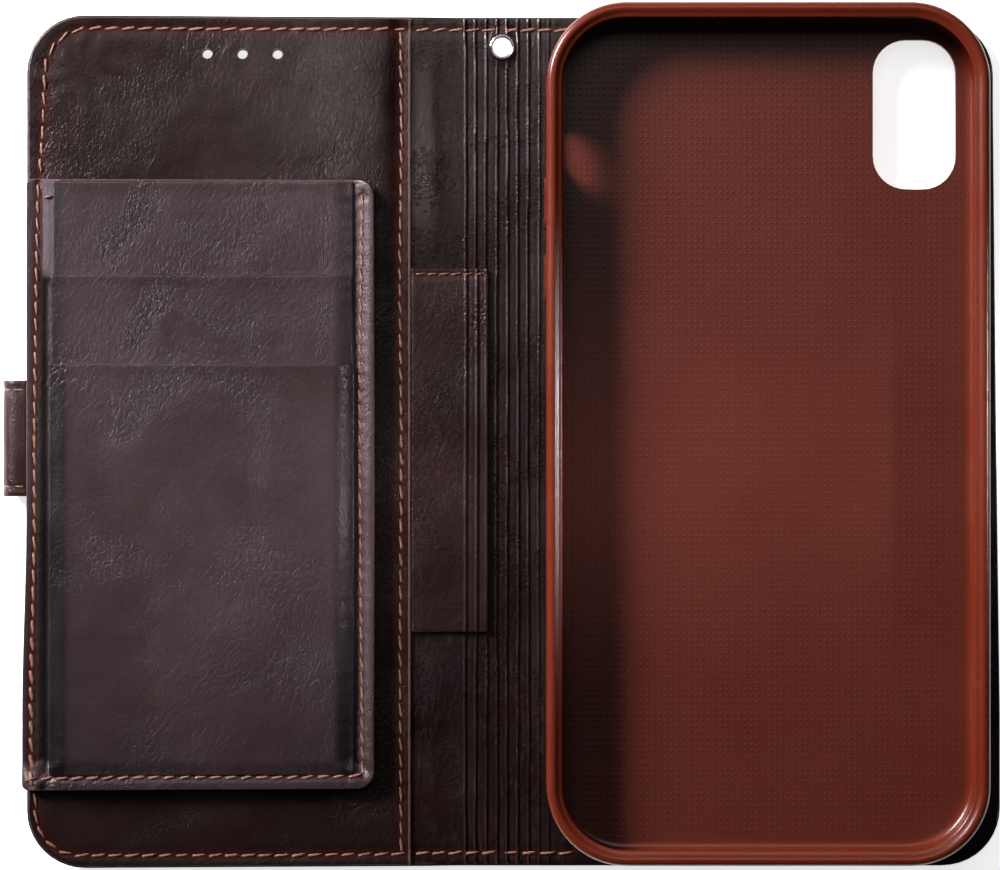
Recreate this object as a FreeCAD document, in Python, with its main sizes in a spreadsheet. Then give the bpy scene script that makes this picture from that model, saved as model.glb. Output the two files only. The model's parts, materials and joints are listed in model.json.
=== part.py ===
import FreeCAD, Part
import math
import os
import Sketcher

# A folding phone wallet case lying open: back cover with a moulded phone shell at
# +X, ribbed spine in the middle, front cover with a card leaf at -X, and a magnetic
# closing strap folded under the front cover's free edge.
# Frame: millimetres, +X towards the phone shell's outer side, +Y towards the phone's
# top, +Z up, origin on the table under the middle of the open case.

V = FreeCAD.Vector
doc = FreeCAD.newDocument("phone_wallet_case")
sheet = doc.addObject("Spreadsheet::Sheet", "Sizes")
S = {}


def size(name, value, note):
    """One driving size: a plain number in the sheet under an alias."""
    n = len(S) + 1
    sheet.set("A%d" % n, note)
    sheet.set("B%d" % n, repr(float(value)))
    sheet.setAlias("B%d" % n, name)
    S[name] = float(value)


# outlines
size("cover_top", 76.4, "top edge of the covers, Y")
size("cover_bottom", -77.8, "bottom edge of the covers, Y")
size("cover_left", -85.5, "free edge of the front cover, X")
size("cover_right", 90.2, "free edge of the back cover, X")
size("cover_corner", 10.5, "outer corner radius of the covers")
size("cover_edge", 0.8, "turned edge of the outer leather, width")
size("lining_inset", 0.35, "lining's set-in from the cover's edge")
# layers
size("skin", 0.9, "outer leather thickness")
size("back_board_thick", 1.0, "back stiffening board thickness")
size("level_back_lining", 1.9, "top of the back board, Z")
size("level_fold", 2.7, "height of both fold axes: the lining's face, Z")
size("level_front_lining", 2.45, "top of the front board, Z")
size("level_front_face", 3.0, "face of the front lining, Z")
# folds
size("fold_back", 7.5, "fold between back cover and spine, X")
size("fold_front", -7.7, "fold between spine and front cover, X")
size("gap_skin", 3.05, "outer leather's set-back from each fold")
size("gap_core", 2.1, "reinforcement's set-back from each fold")
size("gap_lining", 1.1, "lining's set-back from each fold")
size("front_tilt", 2.4, "front cover's slope over the strap folded under it, degrees")
# spine lining and its pressed ribs
size("rib_count", 7, "pressed ribs on the free part of the spine")
size("rib_pitch", 1.88, "spacing of the ribs")
size("rib_width", 0.6, "width of a rib")
size("rib_rise", 0.25, "height of a rib")
size("rib_first", -5.6, "first rib, X")
size("wing_left", -20.0, "spine leather's edge tucked under the front lining, X")
size("seam_edge", -16.15, "raw right-hand edge of the front lining, X")
# sewn-on spine patch
size("patch_left", -16.05, "patch left edge, X")
size("patch_right", -2.0, "patch right edge, X")
size("patch_top", 30.6, "patch top edge, Y")
size("patch_bottom", -35.3, "patch bottom edge, Y")
size("patch_thick", 0.6, "patch thickness")
size("gap_patch", 0.85, "patch's set-back from the front fold")
# lanyard eyelet
size("eyelet_x", 0.4, "eyelet centre, X")
size("eyelet_y", 70.9, "eyelet centre, Y")
size("eyelet_bore", 1.7, "eyelet bore radius")
size("eyelet_barrel", 2.0, "eyelet barrel outer radius")
size("eyelet_flange", 2.3, "eyelet flange radius")
size("flange_thick", 0.3, "flange thickness")
size("eyelet_top", 3.0, "top of the eyelet's barrel, Z")
# earpiece holes in the front cover
size("ear_x", -53.0, "first earpiece hole, X")
size("ear_y", 69.5, "earpiece holes, Y")
size("ear_span", 12.7, "first to third earpiece hole")
size("ear_radius", 0.95, "earpiece hole radius")
# moulded shell
size("shell_left", 8.3, "shell outer face, X")
size("shell_right", 87.5, "shell outer face, X")
size("shell_bottom", -76.4, "shell outer face, Y")
size("shell_top", 77.8, "shell outer face, Y")
size("shell_corner", 14.3, "shell outer corner radius")
size("shell_base", 3.0, "shell underside, Z")
size("shell_floor", 4.2, "shell floor's upper face, Z")
size("shell_lip", 12.7, "underside of the lip, Z")
size("shell_rim", 13.7, "top of the lip, Z")
size("wall_side", 1.65, "side wall thickness")
size("wall_end", 1.55, "end wall thickness")
size("cavity_corner", 12.7, "cavity corner radius")
size("lip_side", 2.85, "lip's width over the side walls")
size("lip_end", 2.55, "lip's width over the end walls")
size("lip_corner", 11.5, "lip opening's corner radius")
size("shell_round", 1.1, "rounding of the shell's outer edges")
size("glue_inset", 5.0, "adhesive sheet's set-in from the shell's outline")
# camera window
size("camera_left", 67.5, "camera window in the shell, X")
size("camera_low", 45.0, "camera window in the shell, Y")
size("camera_wide", 15.0, "camera window width")
size("camera_high", 27.0, "camera window height")
size("camera_corner", 6.0, "camera window corner radius")
size("camera_step", 1.0, "how much larger the window is in the cover than in the shell")
# ports
size("port_wide", 13.0, "charging port cut-out width")
size("port_high", 6.2, "charging port cut-out height")
size("port_mid", 8.3, "middle of the ports, Z")
size("grille_wide", 13.5, "speaker slot width")
size("grille_high", 3.0, "speaker slot height")
size("grille_off", 18.5, "speaker slot centre from the port's centre")
size("mute_long", 9.0, "ring switch cut-out length")
size("mute_high", 5.2, "ring switch cut-out height")
size("mute_y", 53.3, "ring switch centre, Y")
# buttons
size("button_high", 3.4, "button pad height")
size("button_gap", 0.25, "clearance round a button pad")
size("button_proud", 0.3, "button pad's rise over the wall")
size("power_long", 16.4, "power pad length")
size("power_y", 34.2, "power pad centre, Y")
size("volume_up_long", 9.5, "upper volume pad length")
size("volume_up_y", 41.9, "upper volume pad centre, Y")
size("volume_down_long", 9.0, "lower volume pad length")
size("volume_down_y", 28.4, "lower volume pad centre, Y")
# card leaf
size("leaf_fold", -82.6, "leaf's fold line, X")
size("leaf_fold_level", 4.4, "leaf's fold line, Z before the tilt")
size("leaf_start", -82.3, "leaf base layers start, X")
size("leaf_right", -22.85, "leaf's free edge, X")
size("leaf_top", 46.6, "leaf's top edge, Y")
size("leaf_bottom", -63.4, "leaf's bottom edge, Y")
size("leaf_corner", 3.2, "leaf corner radius")
size("leaf_level", 3.15, "leaf underside, Z")
size("leaf_layer", 0.6, "thickness of each leaf layer")
size("margin_left", -85.1, "sewn margin's outer edge, X")
size("margin_right", -82.9, "sewn margin's inner edge, X")
size("margin_thick", 1.15, "sewn margin thickness")
size("pocket_left", -80.0, "card pockets' left edge, X")
size("pocket_right", -23.3, "card pockets' right edge, X")
size("mouth_middle", 29.3, "middle pocket's mouth, Y")
size("mouth_front", 13.3, "front pocket's mouth, Y")
size("pocket_foot", -62.9, "card pockets' foot, Y")
# closing strap
size("strap_low", -10.6, "strap's lower edge, Y")
size("strap_high", 10.4, "strap's upper edge, Y")
size("strap_thick", 1.6, "strap thickness")
size("strap_skin", 0.5, "strap leather layer")
size("strap_bend_x", -87.7, "centre of the strap's fold, X")
size("strap_bend_r", 2.5, "outer radius of the strap's fold")
size("strap_root_end", -85.75, "strap fold's upper end, X")
size("strap_side_start", -87.4, "strap side's start, X")
size("strap_crease", -68.6, "strap's second bend, X")
size("strap_gap", 0.9, "strap's set-back from the second bend")
size("strap_end", -53.0, "strap tip's end, X")
size("strap_corner", 4.0, "strap tip corner radius")
size("magnet_left", -65.5, "strap magnet, X")
size("magnet_right", -56.0, "strap magnet, X")
size("magnet_half", 6.5, "half the magnet's width, Y")
size("magnet_thick", 0.6, "magnet thickness")
size("tab_right", -74.0, "sewn-in strap tab's inner end, X")
size("tab_thick", 0.8, "sewn-in strap tab thickness")
size("keeper_left", 73.0, "steel keeper, X")
size("keeper_right", 87.0, "steel keeper, X")
size("keeper_half", 8.0, "half the keeper's height, Y")
size("keeper_thick", 0.8, "steel keeper thickness")
# threads
size("stitch_pitch", 2.7, "stitch pitch")
size("stitch_long", 1.8, "stitch length")
size("stitch_wide", 0.45, "stitch width")
size("stitch_rise", 0.2, "stitch height over the leather")
doc.recompute()


def num(text):
    """The value of a sum of sheet names and numbers, read from left to right."""
    total, sign = 0.0, 1.0
    for word in text.split():
        if word in "+-":
            sign = 1.0 if word == "+" else -1.0
        else:
            total += sign * (S[word] if word in S else float(word))
    return total


def bound(text):
    """The same sum as a FreeCAD expression on the sheet's cells."""
    return " ".join("Sizes." + w if w in S else w for w in text.split())


def minus(text):
    return " ".join({"+": "-", "-": "+"}.get(w, w) for w in text.split())


# The front cover and all that it carries slope up over the folded strap, about the
# fold beside the spine.
tilt = FreeCAD.Rotation(V(0, 1, 0), S["front_tilt"])
pivot = V(S["fold_front"], 0, S["level_fold"])
sloped = FreeCAD.Placement(pivot - tilt.multVec(pivot), tilt)
level = FreeCAD.Placement()
parts = []


def finish(obj, node, place=level):
    obj.Label = node
    obj.Placement = place
    parts.append((node, obj))
    return obj


def sketch(body, role, ox, oy, oz):
    """A sketch on one of the body's own planes, moved by sums of sheet cells."""
    sk = body.newObject("Sketcher::SketchObject", body.Name + "_sketch")
    plane = [p for p in body.Origin.OriginFeatures if p.Role == role][0]
    sk.AttachmentSupport = [(plane, "")]
    sk.MapMode = "FlatFace"
    sk.AttachmentOffset = FreeCAD.Placement(V(num(ox), num(oy), num(oz)), FreeCAD.Rotation())
    sk.setExpression("AttachmentOffset.Base.x", bound(ox))
    sk.setExpression("AttachmentOffset.Base.y", bound(oy))
    sk.setExpression("AttachmentOffset.Base.z", bound(oz))
    return sk


def name_last(sk, constraint, name, text):
    n = sk.addConstraint(constraint)
    sk.renameConstraint(n, name)
    sk.setExpression("Constraints." + name, bound(text))


def rectangle(sk, wide, high, corner=None):
    """A rectangle from the sketch's origin, or one with four equal round corners."""
    w, hh = num(wide), num(high)
    C = Sketcher.Constraint
    if corner is None:
        pts = [V(0, 0, 0), V(w, 0, 0), V(w, hh, 0), V(0, hh, 0)]
        g = [sk.addGeometry(Part.LineSegment(pts[i], pts[(i + 1) % 4]), False) for i in range(4)]
        for i in range(4):
            sk.addConstraint(C("Coincident", g[i], 2, g[(i + 1) % 4], 1))
        for i, kind in enumerate(["Horizontal", "Vertical", "Horizontal", "Vertical"]):
            sk.addConstraint(C(kind, g[i]))
        sk.addConstraint(C("Coincident", g[0], 1, -1, 1))
        name_last(sk, C("DistanceX", g[0], 1, g[0], 2, w), "wide", wide)
        name_last(sk, C("DistanceY", g[1], 1, g[1], 2, hh), "high", high)
        return sk
    r = num(corner)
    mids = [(w - r, r, -90), (w - r, hh - r, 0), (r, hh - r, 90), (r, r, 180)]
    ends = [(V(r, 0, 0), V(w - r, 0, 0)), (V(w, r, 0), V(w, hh - r, 0)),
            (V(w - r, hh, 0), V(r, hh, 0)), (V(0, hh - r, 0), V(0, r, 0))]
    lines, arcs = [], []
    for i in range(4):
        lines.append(sk.addGeometry(Part.LineSegment(*ends[i]), False))
        cx, cy, a0 = mids[i]
        circle = Part.Circle(V(cx, cy, 0), V(0, 0, 1), r)
        arcs.append(sk.addGeometry(
            Part.ArcOfCircle(circle, math.radians(a0), math.radians(a0 + 90)), False))
    for i in range(4):
        sk.addConstraint(C("Tangent", lines[i], 2, arcs[i], 1))
        sk.addConstraint(C("Tangent", arcs[i], 2, lines[(i + 1) % 4], 1))
    sk.addConstraint(C("Horizontal", lines[0]))
    sk.addConstraint(C("Vertical", lines[1]))
    sk.addConstraint(C("Horizontal", lines[2]))
    sk.addConstraint(C("Vertical", lines[3]))
    for i in range(1, 4):
        sk.addConstraint(C("Equal", arcs[0], arcs[i]))
    sk.addConstraint(C("PointOnObject", lines[0], 1, -1))
    sk.addConstraint(C("PointOnObject", lines[3], 1, -2))
    name_last(sk, C("Radius", arcs[0], r), "corner", corner)
    name_last(sk, C("DistanceX", lines[3], 1, lines[1], 1, w), "wide", wide)
    name_last(sk, C("DistanceY", lines[0], 1, lines[2], 1, hh), "high", high)
    return sk


def circle(sk, radius):
    C = Sketcher.Constraint
    g = sk.addGeometry(Part.Circle(V(0, 0, 0), V(0, 0, 1), num(radius)), False)
    sk.addConstraint(C("Coincident", g, 3, -1, 1))
    name_last(sk, C("Radius", g, num(radius)), "round", radius)
    return sk


def pad(body, sk, length):
    p = body.newObject("PartDesign::Pad", body.Name + "_pad")
    p.Profile = sk
    p.setExpression("Length", bound(length))
    body.Tip = p
    doc.recompute()
    return p


def pocket(body, sk, length, back=False):
    """Cuts from the sketch against its normal (or along it, with back), and makes sure that it cut."""
    before = body.Shape.Volume
    p = body.newObject("PartDesign::Pocket", body.Name + "_pocket")
    p.Profile = sk
    p.Reversed = back
    p.setExpression("Length", bound(length))
    body.Tip = p
    doc.recompute()
    if body.Shape.Volume > before - 1e-3:
        raise RuntimeError(body.Name + ": a pocket cuts nothing")
    return p


def rounded(body, wanted, radius):
    """Rounds the tip's edges that wanted(edge) picks."""
    tip = body.Tip
    names = ["Edge%d" % (i + 1) for i, e in enumerate(tip.Shape.Edges) if wanted(e)]
    f = body.newObject("PartDesign::Fillet", body.Name + "_fillet")
    f.Base = (tip, names)
    f.setExpression("Radius", bound(radius))
    body.Tip = f
    doc.recompute()
    return f


def upright_at(*corners):
    """Picks the upright edges at the named corners (x, y)."""
    spots = [(num(x), num(y)) for x, y in corners]

    def wanted(e):
        a, b = e.Vertexes[0].Point, e.Vertexes[-1].Point
        if math.hypot(a.x - b.x, a.y - b.y) > 1e-4 or abs(a.z - b.z) < 1e-4:
            return False
        return any(math.hypot(a.x - x, a.y - y) < 1e-3 for x, y in spots)

    return wanted


def plate(node, x0, x1, y0, y1, z0, thick, place=level, corners=(), radius=None):
    """A flat layer between four sums of sheet cells, with any round outer corners."""
    body = doc.addObject("PartDesign::Body", node)
    sk = sketch(body, "XY_Plane", x0, y0, z0)
    rectangle(sk, x1 + " - " + minus(x0), y1 + " - " + minus(y0))
    pad(body, sk, thick)
    if corners:
        rounded(body, upright_at(*corners), radius)
    return finish(body, node, place)


def cut_box(body, x0, x1, y0, y1, ztop, depth, corner=None):
    sk = sketch(body, "XY_Plane", x0, y0, ztop)
    rectangle(sk, x1 + " - " + minus(x0), y1 + " - " + minus(y0), corner)
    return pocket(body, sk, depth)


def cut_round(body, x, y, ztop, depth, radius):
    return pocket(body, circle(sketch(body, "XY_Plane", x, y, ztop), radius), depth)


def camera_cut(body, ztop, depth, extra):
    grow = (" - " if extra else None, extra)
    x0 = "camera_left" + (" - camera_step" if extra else "")
    y0 = "camera_low" + (" - camera_step" if extra else "")
    x1 = "camera_left + camera_wide" + (" + camera_step" if extra else "")
    y1 = "camera_low + camera_high" + (" + camera_step" if extra else "")
    r = "camera_corner" + (" + camera_step" if extra else "")
    return cut_box(body, x0, x1, y0, y1, ztop, depth, r)


def ear_holes(body, ztop, depth):
    sk = circle(sketch(body, "XY_Plane", "ear_x", "ear_y", ztop), "ear_radius")
    first = pocket(body, sk, depth)
    before = body.Shape.Volume
    row = body.newObject("PartDesign::LinearPattern", body.Name + "_row")
    row.Originals = [first]
    row.Direction = (sk, ["H_Axis"])
    row.Occurrences = 3
    row.setExpression("Length", bound("ear_span"))
    body.Tip = row
    doc.recompute()
    if body.Shape.Volume > before - 1e-3:
        raise RuntimeError(body.Name + ": the row of holes cuts nothing")


# ---------------------------------------------------------------- back cover
right_corners = [("cover_right", "cover_top"), ("cover_right", "cover_bottom")]
left_corners = [("cover_left", "cover_top"), ("cover_left", "cover_bottom")]

# Outer leather of the back cover: a skin with its edge turned up round the board.
body = plate("back_outer_leather", "fold_back + gap_skin", "cover_right", "cover_bottom", "cover_top",
             "0", "level_back_lining", level, right_corners, "cover_corner")
cut_box(body, "fold_back + gap_skin", "cover_right - cover_edge", "cover_bottom + cover_edge",
        "cover_top - cover_edge", "level_back_lining", "back_board_thick")
camera_cut(body, "level_back_lining", "level_back_lining", True)

body = plate("back_board", "fold_back + gap_skin + 0.1", "cover_right - cover_edge", "cover_bottom + cover_edge",
             "cover_top - cover_edge", "skin", "back_board_thick", level,
             [("cover_right - cover_edge", "cover_top - cover_edge"),
              ("cover_right - cover_edge", "cover_bottom + cover_edge")], "cover_corner - cover_edge")
camera_cut(body, "level_back_lining", "back_board_thick", True)
cut_box(body, "keeper_left", "keeper_right", "0 - keeper_half", "keeper_half", "level_back_lining", "back_board_thick")
plate("back_steel_keeper", "keeper_left + 0.1", "keeper_right - 0.1", "0 - keeper_half + 0.1", "keeper_half - 0.1",
      "skin + 0.1", "keeper_thick", level,
      [("keeper_left + 0.1", "keeper_half - 0.1"), ("keeper_left + 0.1", "0 - keeper_half + 0.1"),
       ("keeper_right - 0.1", "keeper_half - 0.1"), ("keeper_right - 0.1", "0 - keeper_half + 0.1")], "1.5")

body = plate("back_lining", "fold_back + gap_lining", "cover_right - lining_inset", "cover_bottom + lining_inset",
             "cover_top - lining_inset", "level_back_lining", "level_fold - level_back_lining", level,
             [("cover_right - lining_inset", "cover_top - lining_inset"),
              ("cover_right - lining_inset", "cover_bottom + lining_inset")], "cover_corner - lining_inset")
camera_cut(body, "level_fold", "level_fold - level_back_lining", True)

body = plate("shell_adhesive_sheet", "shell_left + glue_inset", "shell_right - glue_inset",
             "shell_bottom + glue_inset", "cover_top - glue_inset", "level_fold", "shell_base - level_fold", level,
             [("shell_left + glue_inset", "cover_top - glue_inset"), ("shell_left + glue_inset", "shell_bottom + glue_inset"),
              ("shell_right - glue_inset", "cover_top - glue_inset"), ("shell_right - glue_inset", "shell_bottom + glue_inset")],
             "shell_corner - glue_inset")
camera_cut(body, "shell_base", "shell_base - level_fold", True)

# Moulded phone shell: tray with an inward lip, camera window, ports and button places.
body = doc.addObject("PartDesign::Body", "phone_shell")
sk = sketch(body, "XY_Plane", "shell_left", "shell_bottom", "shell_base")
rectangle(sk, "shell_right - shell_left", "shell_top - shell_bottom", "shell_corner")
pad(body, sk, "shell_rim - shell_base")


def outer_rims(e):
    b = e.BoundBox
    return b.ZLength < 1e-4


rounded(body, outer_rims, "shell_round")
sk = sketch(body, "XY_Plane", "shell_left + lip_side", "shell_bottom + lip_end", "shell_rim")
rectangle(sk, "shell_right - lip_side - shell_left - lip_side", "shell_top - lip_end - shell_bottom - lip_end", "lip_corner")
pocket(body, sk, "shell_rim - shell_floor")
sk = sketch(body, "XY_Plane", "shell_left + wall_side", "shell_bottom + wall_end", "shell_lip")
rectangle(sk, "shell_right - wall_side - shell_left - wall_side", "shell_top - wall_end - shell_bottom - wall_end", "cavity_corner")
pocket(body, sk, "shell_lip - shell_floor")
camera_cut(body, "shell_floor", "shell_floor - shell_base", False)
mid_x = (S["shell_left"] + S["shell_right"]) / 2.0
size("shell_middle", mid_x, "middle of the shell, X")
size("port_half", S["port_wide"] / 2, "half the port's width")
size("grille_half", S["grille_wide"] / 2, "half a speaker slot's width")
doc.recompute()
for x0, wide, high, r in (("shell_middle - port_half", "port_wide", "port_high", "2.9"),
                          ("shell_middle - grille_off - grille_half", "grille_wide", "grille_high", "1.4"),
                          ("shell_middle + grille_off - grille_half", "grille_wide", "grille_high", "1.4")):
    half = num(high) / 2
    sk = sketch(body, "XZ_Plane", x0, "port_mid - %g" % half, "0 - shell_bottom + 1")
    rectangle(sk, wide, high, r)
    pocket(body, sk, "wall_end + 2")
half = S["mute_long"] / 2
sk = sketch(body, "YZ_Plane", "mute_y - %g" % half, "port_mid - %g" % (S["mute_high"] / 2), "shell_left - 1")
rectangle(sk, "mute_long", "mute_high", "2.4")
pocket(body, sk, "wall_side + 2", True)
pads = (("power_button_pad", "power", True), ("volume_up_pad", "volume_up", False), ("volume_down_pad", "volume_down", False))
for node, key, right in pads:
    half = S[key + "_long"] / 2
    sk = sketch(body, "YZ_Plane", "%s_y - %g - button_gap" % (key, half),
                "port_mid - %g - button_gap" % (S["button_high"] / 2),
                "shell_right + 1" if right else "shell_left - 1")
    rectangle(sk, key + "_long + button_gap + button_gap", "button_high + button_gap + button_gap", "1.6 + button_gap")
    pocket(body, sk, "wall_side + 2", not right)
finish(body, "phone_shell")

# Button pads: pressed in through the side walls.
for node, key, right in pads:
    body = doc.addObject("PartDesign::Body", node)
    half = S[key + "_long"] / 2
    sk = sketch(body, "YZ_Plane", "%s_y - %g" % (key, half), "port_mid - %g" % (S["button_high"] / 2),
                "shell_right - wall_side" if right else "shell_left - button_proud")
    rectangle(sk, key + "_long", "button_high", "1.6")
    pad(body, sk, "wall_side + button_proud")
    finish(body, node)

# ---------------------------------------------------------------- spine
body = plate("spine_outer_leather", "fold_front + gap_skin", "fold_back - gap_skin", "cover_bottom", "cover_top", "0", "skin")
cut_round(body, "eyelet_x", "eyelet_y", "skin", "skin", "eyelet_barrel")
cut_round(body, "eyelet_x", "eyelet_y", "flange_thick", "flange_thick", "eyelet_flange")
body = plate("spine_reinforcement", "fold_front + gap_core", "fold_back - gap_core", "cover_bottom + cover_edge",
             "cover_top - cover_edge", "skin", "back_board_thick")
cut_round(body, "eyelet_x", "eyelet_y", "level_back_lining", "back_board_thick", "eyelet_barrel")
# The lining stops under the ribs' tops; the ribs are pressed into it, full height.
size("spine_face", S["level_fold"] - S["rib_rise"], "spine lining between the ribs, Z")
doc.recompute()
body = plate("spine_lining", "fold_front + gap_lining", "fold_back - gap_lining", "cover_bottom + lining_inset",
             "cover_top - lining_inset", "level_back_lining", "spine_face - level_back_lining")
sk = sketch(body, "XY_Plane", "rib_first", "cover_bottom + lining_inset", "spine_face")
rectangle(sk, "rib_width", "cover_top - lining_inset - cover_bottom - lining_inset")
rib = pad(body, sk, "rib_rise")
row = body.newObject("PartDesign::LinearPattern", "spine_ribs")
row.Originals = [rib]
row.Direction = (sk, ["H_Axis"])
row.Occurrences = int(S["rib_count"])
size("rib_row", S["rib_pitch"] * (S["rib_count"] - 1), "first to last rib")
doc.recompute()
row.setExpression("Length", bound("rib_row"))
body.Tip = row
doc.recompute()
# level seats for the eyelet's washer and the sewn patch
sk = sketch(body, "XY_Plane", "eyelet_x", "eyelet_y", "level_fold")
circle(sk, "eyelet_flange + 0.3")
pocket(body, sk, "rib_rise")
cut_round(body, "eyelet_x", "eyelet_y", "spine_face", "spine_face - level_back_lining", "eyelet_barrel")
body.Label = "spine_lining"

body = plate("spine_patch", "fold_front + gap_patch", "patch_right", "patch_bottom", "patch_top", "level_fold", "patch_thick")
plate("spine_patch_wing", "patch_left", "fold_front - gap_patch", "patch_bottom", "patch_top", "level_fold",
      "patch_thick", sloped)

# Eyelet: a flanged barrel from outside, and a washer that its rolled end holds inside.
body = doc.addObject("PartDesign::Body", "eyelet_barrel")
pad(body, circle(sketch(body, "XY_Plane", "eyelet_x", "eyelet_y", "0"), "eyelet_flange"), "flange_thick")
pad(body, circle(sketch(body, "XY_Plane", "eyelet_x", "eyelet_y", "flange_thick"), "eyelet_barrel"), "eyelet_top - flange_thick")
cut_round(body, "eyelet_x", "eyelet_y", "eyelet_top", "eyelet_top", "eyelet_bore")
finish(body, "eyelet_barrel")
body = doc.addObject("PartDesign::Body", "eyelet_washer")
pad(body, circle(sketch(body, "XY_Plane", "eyelet_x", "eyelet_y", "spine_face"), "eyelet_flange"), "eyelet_top - 0.05 - spine_face")
cut_round(body, "eyelet_x", "eyelet_y", "eyelet_top - 0.05", "eyelet_top - 0.05 - spine_face", "eyelet_barrel")
finish(body, "eyelet_washer")

# ---------------------------------------------------------------- front cover
body = plate("front_outer_leather", "cover_left", "fold_front - gap_skin", "cover_bottom", "cover_top",
             "0", "level_front_lining", sloped, left_corners, "cover_corner")
cut_box(body, "cover_left + cover_edge", "fold_front - gap_skin", "cover_bottom + cover_edge",
        "cover_top - cover_edge", "level_front_lining", "level_front_lining - skin")
ear_holes(body, "skin", "skin")
# mouth for the strap in the turned edge
cut_box(body, "cover_left", "cover_left + cover_edge", "strap_low - 0.1", "strap_high + 0.1",
        "skin + tab_thick + 0.1", "tab_thick + 0.1")

body = plate("front_board", "cover_left + cover_edge", "fold_front - gap_skin - 0.1", "cover_bottom + cover_edge",
             "cover_top - cover_edge", "skin", "level_front_lining - skin", sloped,
             [("cover_left + cover_edge", "cover_top - cover_edge"),
              ("cover_left + cover_edge", "cover_bottom + cover_edge")], "cover_corner - cover_edge")
ear_holes(body, "level_front_lining", "level_front_lining - skin")
# step that the tucked edge of the spine leather lies in
cut_box(body, "wing_left - 0.1", "fold_front - gap_skin - 0.1", "cover_bottom + cover_edge", "cover_top - cover_edge",
        "level_front_lining", "level_front_lining - level_back_lining")
# recess for the strap's sewn-in tab
cut_box(body, "cover_left + cover_edge", "tab_right + 0.1", "strap_low - 0.1", "strap_high + 0.1",
        "skin + tab_thick + 0.1", "tab_thick + 0.1")

plate("spine_leather_wing", "wing_left", "fold_front - gap_lining", "cover_bottom + cover_edge + 0.05",
      "cover_top - cover_edge - 0.05", "level_back_lining", "level_front_lining - level_back_lining", sloped)
body = plate("front_lining", "cover_left + lining_inset", "seam_edge", "cover_bottom + lining_inset",
             "cover_top - lining_inset", "level_front_lining", "level_front_face - level_front_lining", sloped,
             [("cover_left + lining_inset", "cover_top - lining_inset"),
              ("cover_left + lining_inset", "cover_bottom + lining_inset")], "cover_corner - lining_inset")
ear_holes(body, "level_front_face", "level_front_face - level_front_lining")
plate("strap_anchor_tab", "cover_left + 0.1", "tab_right", "strap_low", "strap_high", "skin", "tab_thick", sloped)

# ---------------------------------------------------------------- card leaf
plate("leaf_sewn_margin", "margin_left", "margin_right", "leaf_bottom", "leaf_top", "level_front_face", "margin_thick", sloped)
leaf_corners = [("leaf_right", "leaf_top"), ("leaf_right", "leaf_bottom")]
plate("leaf_back_leather", "leaf_start", "leaf_right", "leaf_bottom", "leaf_top", "leaf_level", "leaf_layer",
      sloped, leaf_corners, "leaf_corner")
plate("leaf_front_base", "leaf_start", "leaf_right", "leaf_bottom", "leaf_top", "leaf_level + leaf_layer", "leaf_layer",
      sloped, leaf_corners, "leaf_corner")
plate("card_pocket_rear", "pocket_left", "pocket_right", "pocket_foot", "leaf_top - 0.4",
      "leaf_level + leaf_layer + leaf_layer", "leaf_layer", sloped)
plate("card_pocket_middle", "pocket_left", "pocket_right", "pocket_foot", "mouth_middle",
      "leaf_level + leaf_layer + leaf_layer + leaf_layer", "leaf_layer", sloped)
plate("card_pocket_front", "pocket_left", "pocket_right", "pocket_foot", "mouth_front",
      "leaf_level + leaf_layer + leaf_layer + leaf_layer + leaf_layer", "leaf_layer", sloped)

# ---------------------------------------------------------------- closing strap
# The fold at the cover's free edge: a half ring with its upper leg reaching the cover.
size("strap_bend_mid", S["strap_bend_r"] - S["strap_thick"], "inner radius of the strap's fold")
doc.recompute()
outer = doc.addObject("Part::Cylinder", "fold_outside")
outer.setExpression("Radius", "Sizes.strap_bend_r")
inner = doc.addObject("Part::Cylinder", "fold_inside")
inner.setExpression("Radius", "Sizes.strap_bend_mid")
for c in (outer, inner):
    c.setExpression("Height", "Sizes.strap_high - Sizes.strap_low")
    c.setExpression("Angle", "180")
    # the half turn lies on the far side of the bend's centre from the cover
    c.Placement = FreeCAD.Placement(V(S["strap_bend_x"], S["strap_high"], S["strap_bend_r"]),
                                    FreeCAD.Rotation(V(1, 0, 0), V(0, 0, 1), V(0, -1, 0), "ZXY"))
    c.Placement = FreeCAD.Placement(V(S["strap_bend_x"], S["strap_high"], S["strap_bend_r"]),
                                    FreeCAD.Rotation(V(1, 0, 0), 90).multiply(FreeCAD.Rotation(V(0, 0, 1), 90)))
ring = doc.addObject("Part::Cut", "fold_ring")
ring.Base, ring.Tool = outer, inner
leg = doc.addObject("Part::Box", "fold_leg")
leg.setExpression("Length", "Sizes.strap_root_end - Sizes.strap_bend_x")
leg.setExpression("Width", "Sizes.strap_high - Sizes.strap_low")
leg.setExpression("Height", "Sizes.strap_thick")
leg.Placement = FreeCAD.Placement(V(S["strap_bend_x"], S["strap_low"], 2 * S["strap_bend_r"] - S["strap_thick"]), FreeCAD.Rotation())
fold = doc.addObject("Part::Fuse", "strap_fold")
fold.Base, fold.Tool = ring, leg
fold.Refine = True
doc.recompute()
fold.Label = "strap_fold"
parts.append(("strap_fold", fold))

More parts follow.
